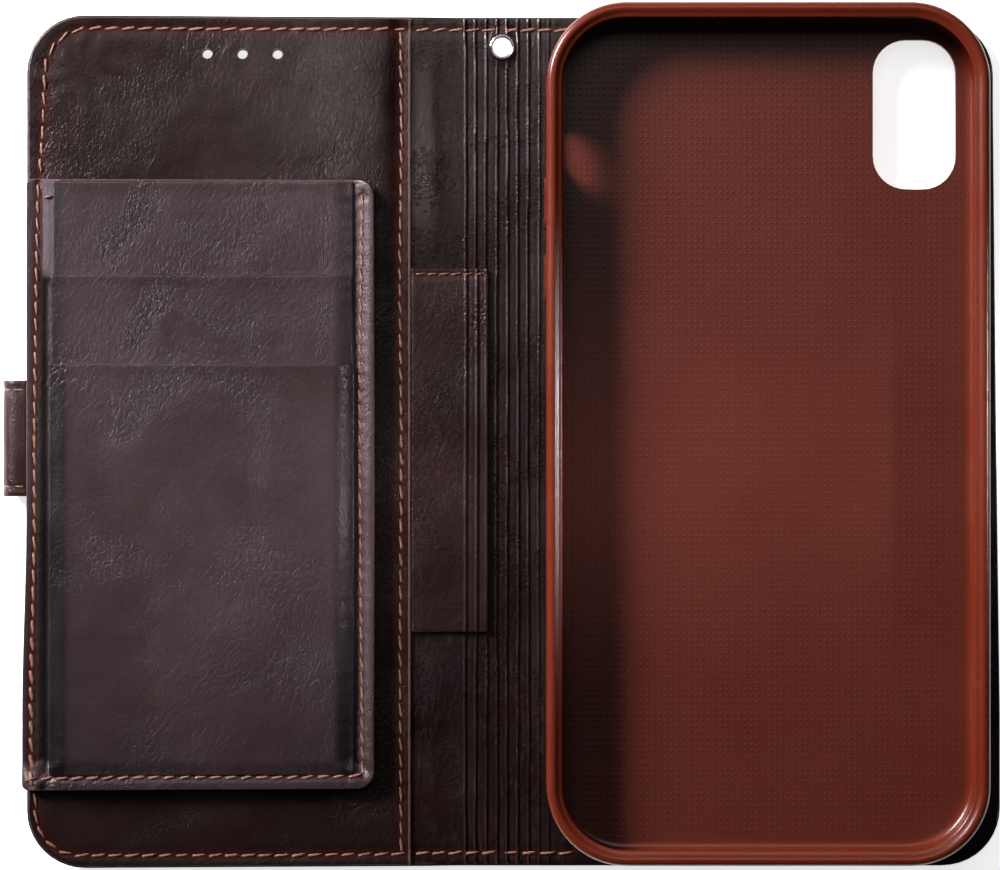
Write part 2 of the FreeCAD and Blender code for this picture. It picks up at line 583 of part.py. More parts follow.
plate("strap_side_outer", "strap_side_start", "strap_crease - strap_gap", "strap_low", "strap_high", "0", "strap_skin")
plate("strap_side_core", "strap_side_start + 0.5", "strap_crease - strap_gap", "strap_low + 1", "strap_high - 1",
      "strap_skin", "strap_thick - strap_skin - strap_skin")
plate("strap_side_inner", "strap_side_start", "strap_crease - strap_gap", "strap_low", "strap_high",
      "strap_thick - strap_skin", "strap_skin")
tip_corners = [("strap_end", "strap_low"), ("strap_end", "strap_high")]
plate("strap_tip_outer", "strap_crease + strap_gap", "strap_end", "strap_low", "strap_high", "0", "strap_skin",
      level, tip_corners, "strap_corner")
plate("strap_tip_inner", "strap_crease + strap_gap", "strap_end", "strap_low", "strap_high",
      "strap_thick - strap_skin", "strap_skin", level, tip_corners, "strap_corner")
plate("strap_magnet", "magnet_left", "magnet_right", "0 - magnet_half - 0.1", "magnet_half - 0.1", "strap_skin", "magnet_thick", level,
      [("magnet_left", "0 - magnet_half - 0.1"), ("magnet_left", "magnet_half - 0.1"),
       ("magnet_right", "0 - magnet_half - 0.1"), ("magnet_right", "magnet_half - 0.1")], "1")


# ---------------------------------------------------------------- threads
def run(points, closed=False):
    """Stitch centres and headings along a path, evenly spaced."""
    legs = [(points[i], points[i + 1]) for i in range(len(points) - 1)]
    total = sum((b - a).Length for a, b in legs)
    count = max(1, int(round(total / S["stitch_pitch"])))
    step = total / count
    out, done, k = [], 0.0, 0
    for i in range(count):
        at = (i + 0.5) * step
        while k < len(legs) - 1 and done + (legs[k][1] - legs[k][0]).Length < at:
            done += (legs[k][1] - legs[k][0]).Length
            k += 1
        a, b = legs[k]
        d = (b - a).normalize()
        out.append((a + d * (at - done), math.degrees(math.atan2(d.y, d.x))))
    return out


def arc(cx, cy, r, a0, a1, n=8):
    return [V(cx + r * math.cos(math.radians(a0 + (a1 - a0) * i / n)),
              cy + r * math.sin(math.radians(a0 + (a1 - a0) * i / n)), 0) for i in range(n + 1)]


def stitches(node, paths, z, place):
    """One run of thread: a flat stitch for each pass over the leather, as separate solids."""
    solids = []
    for path in paths:
        for at, turn in run(path):
            box = Part.makeBox(S["stitch_long"], S["stitch_wide"], S["stitch_rise"],
                               V(-S["stitch_long"] / 2, -S["stitch_wide"] / 2, 0))
            box.Placement = FreeCAD.Placement(V(at.x, at.y, z), FreeCAD.Rotation(V(0, 0, 1), turn))
            solids.append(box)
    obj = doc.addObject("Part::Feature", node)
    obj.Shape = Part.makeCompound(solids)
    return finish(obj, node, place)


edge_in = 2.4
left, top, low = S["cover_left"] + edge_in, S["cover_top"] - edge_in, S["cover_bottom"] + edge_in
rc = S["cover_corner"] - edge_in
lt, lb = S["leaf_top"] + 1.0, S["leaf_bottom"] - 1.0
stitches("front_border_stitching",
         [[V(S["seam_edge"] - 3.4, top, 0)] + arc(left + rc, top - rc, rc, 90, 180) + [V(left, lt, 0)],
          [V(left, lb, 0)] + arc(left + rc, low + rc, rc, 180, 270) + [V(S["seam_edge"] - 3.4, low, 0)]],
         S["level_front_face"], sloped)
seam = S["seam_edge"] - 1.85
stitches("hinge_seam_stitching", [[V(seam, low + 0.4, 0), V(seam, top - 0.4, 0)]], S["level_front_face"], sloped)
margin = (S["margin_left"] + S["margin_right"]) / 2
stitches("leaf_margin_stitching", [[V(margin, S["leaf_bottom"] + 1, 0), V(margin, S["leaf_top"] - 1, 0)]],
         S["level_front_face"] + S["margin_thick"], sloped)
leaf_top_face = S["leaf_level"] + 2 * S["leaf_layer"]
column = S["leaf_right"] - 2.4
foot = S["leaf_bottom"] + 2.6
stitches("leaf_pocket_stitching",
         [[V(column, foot + 1.5, 0), V(column, S["mouth_front"] - 1.0, 0)],
          [V(column - 1.5, foot, 0), V(S["pocket_left"] + 1.5, foot, 0)]],
         S["leaf_level"] + 5 * S["leaf_layer"], sloped)
stitches("patch_stitching",
         [[V(S["patch_left"] + 1.2, S["patch_top"] - 1.2, 0), V(S["fold_front"] - S["gap_patch"] - 0.6, S["patch_top"] - 1.2, 0)]],
         S["level_fold"] + S["patch_thick"], sloped)

# ---------------------------------------------------------------- check and write
doc.recompute()
for obj in doc.Objects:
    if "Invalid" in obj.State or "Error" in obj.State:
        raise RuntimeError("%s is %s" % (obj.Name, obj.State))
names = [n for n, o in parts]
if len(set(names)) != len(names):
    raise RuntimeError("two nodes share a name")
for node, obj in parts:
    if obj.Label != node:
        raise RuntimeError("label of %s is %s" % (node, obj.Label))
    if obj.Shape.isNull() or not obj.Shape.isValid() or not obj.Shape.Solids:
        raise RuntimeError(node + " has no valid shape")
os.makedirs("parts", exist_ok=True)
low, high = V(1e9, 1e9, 1e9), V(-1e9, -1e9, -1e9)
for node, obj in parts:
    obj.Shape.exportStep("parts/%s.step" % node)
    b = obj.Shape.BoundBox
    low = V(min(low.x, b.XMin), min(low.y, b.YMin), min(low.z, b.ZMin))
    high = V(max(high.x, b.XMax), max(high.y, b.YMax), max(high.z, b.ZMax))
    print("%-24s %2d solid(s) %9.2f mm3  x %8.2f %8.2f  y %8.2f %8.2f  z %6.2f %6.2f" % (
        node, len(obj.Shape.Solids), obj.Shape.Volume, b.XMin, b.XMax, b.YMin, b.YMax, b.ZMin, b.ZMax))
print("box", low, high, "nodes", len(parts))
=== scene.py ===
import bpy
import bmesh
import json
import math
import numpy as np
from mathutils import Matrix, Vector, noise


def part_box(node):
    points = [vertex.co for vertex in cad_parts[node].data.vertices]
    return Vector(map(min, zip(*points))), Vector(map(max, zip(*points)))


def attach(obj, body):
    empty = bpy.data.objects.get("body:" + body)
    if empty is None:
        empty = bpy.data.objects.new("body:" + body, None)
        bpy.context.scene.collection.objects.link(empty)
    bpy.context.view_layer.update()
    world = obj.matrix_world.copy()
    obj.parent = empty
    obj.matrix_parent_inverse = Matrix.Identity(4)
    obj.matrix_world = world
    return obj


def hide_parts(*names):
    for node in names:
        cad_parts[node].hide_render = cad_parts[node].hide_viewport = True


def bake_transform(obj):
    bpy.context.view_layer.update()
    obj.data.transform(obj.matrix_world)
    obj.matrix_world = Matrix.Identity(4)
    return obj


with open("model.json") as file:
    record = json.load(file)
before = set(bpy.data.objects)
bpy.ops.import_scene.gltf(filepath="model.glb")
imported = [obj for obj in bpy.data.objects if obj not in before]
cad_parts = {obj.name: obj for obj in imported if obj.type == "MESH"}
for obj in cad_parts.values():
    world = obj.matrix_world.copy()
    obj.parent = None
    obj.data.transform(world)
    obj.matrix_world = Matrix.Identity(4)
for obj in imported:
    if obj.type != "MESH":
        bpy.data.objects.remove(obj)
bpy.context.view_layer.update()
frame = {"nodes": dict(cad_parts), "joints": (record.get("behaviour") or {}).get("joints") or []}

# All sizes below are in millimetres in the case's own frame; meshes are scaled to metres
# when they are made. "Flat" coordinates are those of the opened case before the front
# cover is sloped over the strap that is folded under it.
MM = 0.001


def mmbox(node):
    lo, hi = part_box(node)
    return [v * 1000 for v in lo], [v * 1000 for v in hi]


JOINT = {j["name"]: j for j in frame["joints"]}
X1, Z1 = JOINT["back_fold"]["pos_m"][0] * 1000, JOINT["back_fold"]["pos_m"][2] * 1000
X2, Z2 = JOINT["front_fold"]["pos_m"][0] * 1000, JOINT["front_fold"]["pos_m"][2] * 1000
TILT = math.radians(90.0 - 87.6)
LEFT, RIGHT = -85.5, mmbox("back_outer_leather")[1][0]
BOTTOM, TOP = mmbox("back_outer_leather")[0][1], mmbox("back_outer_leather")[1][1]
SHELL0, SHELL1 = mmbox("phone_shell")
CORNER = 10.5
ZONE1 = (10.0, 3.8)       # back cover to spine
ZONE2 = (-11.2, -4.4)     # front cover to spine
MID = -0.1                # where the two halves of the spine's visual skins meet
SEAM = -16.15             # raw edge of the front lining


# ------------------------------------------------------------------ small maths
def smooth(a, b, x):
    t = np.clip((np.asarray(x, float) - a) / (b - a), 0, 1)
    return t * t * (3 - 2 * t)


def waves(seed, count, short, long):
    """A smooth random height field as a sum of long sines, about -1 to 1."""
    rng = np.random.RandomState(seed)
    k = 2 * math.pi / rng.uniform(short, long, count)
    a = rng.uniform(0, 2 * math.pi, count)
    p = rng.uniform(0, 2 * math.pi, count)

    def f(x, y):
        out = np.zeros(np.shape(x))
        for i in range(count):
            out = out + np.sin(k[i] * (x * math.cos(a[i]) + y * math.sin(a[i])) + p[i])
        return out / math.sqrt(count)

    return f


def near(px, py, path):
    """Distance from points to a path of (x, y), and the length along it of the nearest place."""
    px, py = np.asarray(px, float), np.asarray(py, float)
    best = np.full(px.shape, 1e9)
    along = np.zeros(px.shape)
    done = 0.0
    for (ax, ay), (bx, by) in zip(path[:-1], path[1:]):
        dx, dy = bx - ax, by - ay
        n = math.hypot(dx, dy)
        if n < 1e-9:
            continue
        t = np.clip(((px - ax) * dx + (py - ay) * dy) / (n * n), 0, 1)
        d = np.hypot(px - ax - t * dx, py - ay - t * dy)
        hit = d < best
        best = np.where(hit, d, best)
        along = np.where(hit, done + t * n, along)
        done += n
    return best, along


def arc(cx, cy, r, a0, a1, n=10):
    return [(cx + r * math.cos(math.radians(a0 + (a1 - a0) * i / n)),
             cy + r * math.sin(math.radians(a0 + (a1 - a0) * i / n))) for i in range(n + 1)]


def slope(co, weight=1.0):
    """Turns flat coordinates (mm) about the front fold by the cover's slope times weight."""
    co = np.asarray(co, float)
    a = TILT * np.asarray(weight, float)
    x, z = co[:, 0] - X2, co[:, 2] - Z2
    c, s = np.cos(a), np.sin(a)
    out = co.copy()
    out[:, 0] = X2 + x * c + z * s
    out[:, 2] = Z2 - x * s + z * c
    return out


def slope_zone(co):
    """The slope fades out across the front fold, as the leather bends there."""
    return slope(co, 1 - smooth(ZONE2[0], ZONE2[1], np.asarray(co)[:, 0]))


# ------------------------------------------------------------------ mesh making
def mesh_object(name, co, faces, mats=(), index=None, smooth_on=True, attrs=None, merge=True):
    me = bpy.data.meshes.new(name)
    me.from_pydata([tuple(v) for v in np.asarray(co, float) * MM], [], [tuple(f) for f in faces])
    if index is not None:
        me.polygons.foreach_set("material_index", np.asarray(index, np.int32))
    for key, values in (attrs or {}).items():
        a = me.attributes.new(key, "FLOAT", "POINT")
        a.data.foreach_set("value", np.asarray(values, np.float32))
    me.validate()
    bm = bmesh.new()
    bm.from_mesh(me)
    if merge:
        bmesh.ops.remove_doubles(bm, verts=bm.verts, dist=2e-6)
        bmesh.ops.dissolve_degenerate(bm, edges=bm.edges, dist=1e-7)
    bmesh.ops.recalc_face_normals(bm, faces=bm.faces)
    bm.to_mesh(me)
    bm.free()
    me.polygons.foreach_set("use_smooth", [smooth_on] * len(me.polygons))
    for m in mats:
        me.materials.append(m)
    ob = bpy.data.objects.new(name, me)
    bpy.context.scene.collection.objects.link(ob)
    return ob


def ring(x0, x1, y0, y1, radii, inset, tx, ty, nc):
    """Points of a rectangle with its own corner radii, moved in by inset. Corners go round from lower left."""
    a, b, c, d = x0 + inset, x1 - inset, y0 + inset, y1 - inset
    r = [max(q - inset, 0.0) for q in radii]
    pts = []

    def corner(cx, cy, rad, start):
        for i in range(nc + 1):
            an = math.radians(start + 90.0 * i / nc)
            pts.append((cx + rad * math.cos(an), cy + rad * math.sin(an)))

    corner(a + r[0], c + r[0], r[0], 180)
    for t in tx[1:-1]:
        pts.append((a + r[0] + (b - r[1] - a - r[0]) * t, c))
    corner(b - r[1], c + r[1], r[1], 270)
    for t in ty[1:-1]:
        pts.append((b, c + r[1] + (d - r[2] - c - r[1]) * t))
    corner(b - r[2], d - r[2], r[2], 0)
    for t in tx[1:-1][::-1]:
        pts.append((a + r[3] + (b - r[2] - a - r[3]) * t, d))
    corner(a + r[3], d - r[3], r[3], 90)
    for t in ty[1:-1][::-1]:
        pts.append((a, c + r[0] + (d - r[3] - c - r[0]) * t))
    return pts


def steps(a, b, first, grow=1.35, cap=1.6):
    """Values from a towards b with growing steps, ending exactly on b."""
    out, step, v = [], first, a
    while v + step * 1.4 < b:
        v += step
        out.append(v)
        step = min(step * grow, cap)
    out.append(b)
    return out


def slab(name, x0, x1, y0, y1, z0, z1, radii=(0, 0, 0, 0), edge=0.3, res=1.2, top=None, under=None,
         mats=(), edge_slot=None, shape=None, tx=None, ty=None, core=None, edge_top=None, attrs=None, nc=10, ne=4):
    """A closed leather layer: rounded outline, rolled edges, and a height field on its faces."""
    if tx is None:
        tx = np.linspace(0, 1, max(4, int(round((x1 - x0) / res))) + 1)
    if ty is None:
        ty = np.linspace(0, 1, max(4, int(round((y1 - y0) / res))) + 1)
    thick = z1 - z0
    eb = min(edge, thick * 0.49)
    et = min(edge_top if edge_top is not None else edge, thick * 0.49 if edge_top is None else thick - eb - 0.01)
    core = core if core is not None else max(max(radii), edge + 2.5)
    inner_b = [eb] + steps(eb, core, 0.35)
    inner_t = [et] + steps(et, core, 0.3)
    spec = [(i, 0.0) for i in inner_b[::-1][:-1]]
    for k in range(ne + 1):
        an = math.radians(-90 + 90.0 * k / ne)
        spec.append((eb * (1 - math.cos(an)), (eb + eb * math.sin(an)) / thick))
    for k in range(ne + 1):
        an = math.radians(90.0 * k / ne)
        spec.append((et * (1 - math.cos(an)), 1 - (et - et * math.sin(an)) / thick))
    spec += [(i, 1.0) for i in inner_t[1:]]
    co, frac = [], []
    rows = []
    for inset, f in spec:
        pts = ring(x0, x1, y0, y1, radii, inset, tx, ty, nc)
        rows.append(len(co))
        co += [(x, y, f) for x, y in pts]
    n = len(pts)
    faces, index = [], []
    for k in range(len(spec) - 1):
        a, b = rows[k], rows[k + 1]
        side = 0.02 < 0.5 * (spec[k][1] + spec[k + 1][1]) < 0.98
        for i in range(n):
            j = (i + 1) % n
            faces.append((a + i, a + j, b + j, b + i))
            index.append(1 if side and edge_slot else 0)
    gx = x0 + core + (x1 - x0 - 2 * core) * np.asarray(tx)
    gy = y0 + core + (y1 - y0 - 2 * core) * np.asarray(ty)
    for f in (0.0, 1.0):
        base = len(co)
        for yy in gy:
            co += [(xx, yy, f) for xx in gx]
        w = len(gx)
        for j in range(len(gy) - 1):
            for i in range(w - 1):
                q = (base + j * w + i, base + j * w + i + 1, base + (j + 1) * w + i + 1, base + (j + 1) * w + i)
                faces.append(q if f else q[::-1])
                index.append(0)
    co = np.array(co)
    x, y, f = co[:, 0], co[:, 1], co[:, 2]
    zt = z1 + (top(x, y) if top else 0)
    zb = z0 + (under(x, y) if under else 0)
    co[:, 2] = zb + (zt - zb) * f
    values = {k: fn(x, y) * f for k, fn in (attrs or {}).items()}
    if shape:
        co = shape(co)
    return mesh_object(name, co, faces, mats, index, attrs=values)


def cut_x(ob, x, keep_left):
    """Cuts a piece at x (mm) with a flat face."""
    bm = bmesh.new()
    bm.from_mesh(ob.data)
    geom = bm.verts[:] + bm.edges[:] + bm.faces[:]
    bmesh.ops.bisect_plane(bm, geom=geom, dist=1e-7, plane_co=(x * MM, 0, 0), plane_no=(1, 0, 0),
                           clear_outer=keep_left, clear_inner=not keep_left)
    edges = [e for e in bm.edges if e.is_boundary]
    if edges:
        bmesh.ops.holes_fill(bm, edges=edges, sides=0)
    bmesh.ops.recalc_face_normals(bm, faces=bm.faces)
    bm.to_mesh(ob.data)
    bm.free()
    return ob


def bore(ob, cutters):
    """Cuts closed cutter objects out of a piece and applies the result."""
    for c in cutters:
        m = ob.modifiers.new("cut", "BOOLEAN")
        m.operation = "DIFFERENCE"
        m.solver = "EXACT"
        m.object = c
    dg = bpy.context.evaluated_depsgraph_get()
    me = bpy.data.meshes.new_from_object(ob.evaluated_get(dg), preserve_all_data_layers=True, depsgraph=dg)
    ob.modifiers.clear()
    me.set_sharp_from_angle(angle=math.radians(38))
    old = ob.data
    ob.data = me
    bpy.data.meshes.remove(old)
    return ob


def drop(*obs):
    for o in obs:
        bpy.data.objects.remove(o, do_unlink=True)


def post(name, outline, lo, hi, axis="z", mat=None, shape=None):
    """A straight closed cutter over a closed outline of (u, v)."""
    n = len(outline)
    co = []
    for w in (lo, hi):
        for u, v in outline:
            co.append({"z": (u, v, w), "y": (u, w, v), "x": (w, u, v)}[axis])
    faces = [tuple(range(n))[::-1], tuple(range(n, 2 * n))]
    faces += [(i, (i + 1) % n, n + (i + 1) % n, n + i) for i in range(n)]
    if shape:
        co = shape(np.array(co))
    return mesh_object(name, np.array(co, float), faces, [mat] if mat else [], smooth_on=False)


def stadium(u0, u1, v0, v1, r, n=8):
    return (arc(u1 - r, v0 + r, r, -90, 0, n) + arc(u1 - r, v1 - r, r, 0, 90, n)
            + arc(u0 + r, v1 - r, r, 90, 180, n) + arc(u0 + r, v0 + r, r, 180, 270, n))


def lathe(name, cx, cy, profile, mats, segments=48, shape=None):
    """A turned ring from a closed profile of (radius, z)."""
    co, faces = [], []
    n = len(profile)
    for s in range(segments):
        a = 2 * math.pi * s / segments
        co += [(cx + r * math.cos(a), cy + r * math.sin(a), z) for r, z in profile]
    for s in range(segments):
        t = (s + 1) % segments
        for i in range(n):
            j = (i + 1) % n
            faces.append((s * n + i, s * n + j, t * n + j, t * n + i))
    co = np.array(co)
    if shape:
        co = shape(co)
    return mesh_object(name, co, faces, mats)


def threads(name, runs, mats, shape=None, long=2.92, wide=0.50, high=0.34, pitch=3.05, slant=8.0, seed=3, flip=1.0):
    """A row of sewn stitches: each is a two-ply twist that rises out of its hole and dives into the next.
    runs: list of (path of (x, y), height function z(x, y), how bright that run's thread is drawn)."""
    rng = np.random.RandomState(seed)
    co, faces, painted_light = [], [], []
    ns, nr = 9, 8
    for path, zf, *tone in runs:
        tone = tone[0] if tone else 1.0
        seg = [math.hypot(b[0] - a[0], b[1] - a[1]) for a, b in zip(path[:-1], path[1:])]
        total = sum(seg)
        count = max(1, int(round(total / pitch)))
        step = total / count
        for i in range(count):
            at = (i + 0.5) * step
            k, done = 0, 0.0
            while k < len(seg) - 1 and done + seg[k] < at:
                done += seg[k]
                k += 1
            (ax, ay), (bx, by) = path[k], path[k + 1]
            ux, uy = (bx - ax) / seg[k], (by - ay) / seg[k]
            cx, cy = ax + ux * (at - done), ay + uy * (at - done)
            turn = math.radians(slant * rng.uniform(0.5, 1.4))
            dx, dy = ux * math.cos(turn) - uy * math.sin(turn), ux * math.sin(turn) + uy * math.cos(turn)
            L = min(long, step * 0.97) * rng.uniform(0.95, 1.03)
            w = wide * rng.uniform(0.9, 1.08)
            h = high * rng.uniform(0.9, 1.1)
            z0 = float(np.asarray(zf(np.array([cx]), np.array([cy])))[0])
            base = len(co)
            ph = rng.uniform(0, 6.28)
            for s in range(ns):
                q = -1 + 2.0 * s / (ns - 1)
                cz = z0 + flip * (0.29 * (1 - q ** 4) - 0.10)
                taper = math.sqrt(max(0.0, 1 - (abs(q) ** 4) * 0.72)) * (0.94 - 0.14 * q)
                for r in range(nr):
                    a = 2 * math.pi * r / nr
                    lump = 1 + 0.13 * math.cos(2 * (a - q * 3.4) + ph)
                    ox = math.cos(a) * w * 0.5 * taper * lump
                    oz = math.sin(a) * h * 0.5 * taper * lump
                    px = cx + dx * q * L / 2 - dy * ox
                    py = cy + dy * q * L / 2 + dx * ox
                    co.append((px, py, cz + oz))
                    # painted highlight on the crowns of the plies and towards each stitch's first end, painted shade at
                    # its ends where it dives into its holes
                    painted_light.append(tone * (1 - abs(q) ** 4) * (0.5 + 0.5 * lump) * (0.92 - 0.40 * max(q, -0.4)))
            for s in range(ns - 1):
                for r in range(nr):
                    t = (r + 1) % nr
                    faces.append((base + s * nr + r, base + s * nr + t, base + (s + 1) * nr + t, base + (s + 1) * nr + r))
            faces.append(tuple(base + r for r in range(nr))[::-1])
            faces.append(tuple(base + (ns - 1) * nr + r for r in range(nr)))
    co = np.array(co)
    if shape:
        co = shape(co)
    return mesh_object(name, co, faces, mats, attrs={"twist": painted_light}, merge=False)


# ------------------------------------------------------------------ materials
def lin(r, g, b):
    def f(c):
        c /= 255.0
        return c / 12.92 if c <= 0.04045 else ((c + 0.055) / 1.055) ** 2.4
    return (f(r), f(g), f(b), 1.0)


class Nodes:
    def __init__(self, name):
        self.mat = bpy.data.materials.new(name)
        self.mat.use_nodes = True
        self.t = self.mat.node_tree
        self.bsdf = self.t.nodes["Principled BSDF"]
        self.coord = self.new("ShaderNodeTexCoord")

    def new(self, kind, **kw):
        n = self.t.nodes.new(kind)
        for k, v in kw.items():
            setattr(n, k, v)
        return n

    def link(self, a, b):
        self.t.links.new(a, b)

    def mapping(self, scale=(1, 1, 1), turn=(0, 0, 0), move=(0, 0, 0), source=None):
        m = self.new("ShaderNodeMapping")
        m.inputs["Scale"].default_value = scale
        m.inputs["Rotation"].default_value = turn
        m.inputs["Location"].default_value = move
        self.link(source or self.coord.outputs["Object"], m.inputs["Vector"])
        return m.outputs["Vector"]

    def lay(self, angle, stretch, move=(0, 0, 0)):
        """Coordinates turned first and then drawn out, so that a pattern runs along the turned Y."""
        m = self.new("ShaderNodeMapping")
        m.vector_type = "TEXTURE"
        m.inputs["Scale"].default_value = (1, 1 / stretch, 1)
        m.inputs["Rotation"].default_value = (0, 0, math.radians(angle))
        m.inputs["Location"].default_value = move
        self.link(self.coord.outputs["Object"], m.inputs["Vector"])
        return m.outputs["Vector"]

    def noise(self, vector, scale, detail=3, rough=0.5, distort=0.0):
        n = self.new("ShaderNodeTexNoise")
        n.inputs["Scale"].default_value = scale
        n.inputs["Detail"].default_value = detail
        n.inputs["Roughness"].default_value = rough
        n.inputs["Distortion"].default_value = distort
        self.link(vector, n.inputs["Vector"])
        return n.outputs["Fac"]

    def math(self, op, a, b=None, c=None, clamp=False):
        n = self.new("ShaderNodeMath", operation=op)
        n.use_clamp = clamp
        for i, v in enumerate((a, b, c)):
            if v is None:
                continue
            if isinstance(v, (int, float)):
                n.inputs[i].default_value = v
            else:
                self.link(v, n.inputs[i])
        return n.outputs[0]

    def range(self, v, a, b, c=0.0, d=1.0, smoothstep=True):
        n = self.new("ShaderNodeMapRange")
        n.interpolation_type = "SMOOTHSTEP" if smoothstep else "LINEAR"
        for k, val in zip(("From Min", "From Max", "To Min", "To Max"), (a, b, c, d)):
            n.inputs[k].default_value = val
        self.link(v, n.inputs["Value"])
        return n.outputs["Result"]

    def mix(self, fac, a, b, kind="MIX"):
        n = self.new("ShaderNodeMix", data_type="RGBA", blend_type=kind)
        if isinstance(fac, (int, float)):
            n.inputs[0].default_value = fac
        else:
            self.link(fac, n.inputs[0])
        for i, v in ((6, a), (7, b)):
            if isinstance(v, tuple):
                n.inputs[i].default_value = v
            else:
                self.link(v, n.inputs[i])
        return n.outputs[2]

    def attribute(self, name):
        n = self.new("ShaderNodeAttribute", attribute_name=name)
        return n.outputs["Fac"]

    def ridge(self, vector, scale, width, detail=2, distort=0.0):
        """Thin wandering creases: where a noise passes through its middle value."""
        n = self.noise(vector, scale, detail, 0.5, distort)
        d = self.math("ABSOLUTE", self.math("SUBTRACT", n, 0.5))
        return self.range(d, 0.0, width, 1.0, 0.0)

    def bump(self, height, distance, strength=1.0, under=None):
        n = self.new("ShaderNodeBump")
        n.inputs["Distance"].default_value = distance
        n.inputs["Strength"].default_value = strength
        self.link(height, n.inputs["Height"])
        if under is not None:
            self.link(under, n.inputs["Normal"])
        return n.outputs["Normal"]


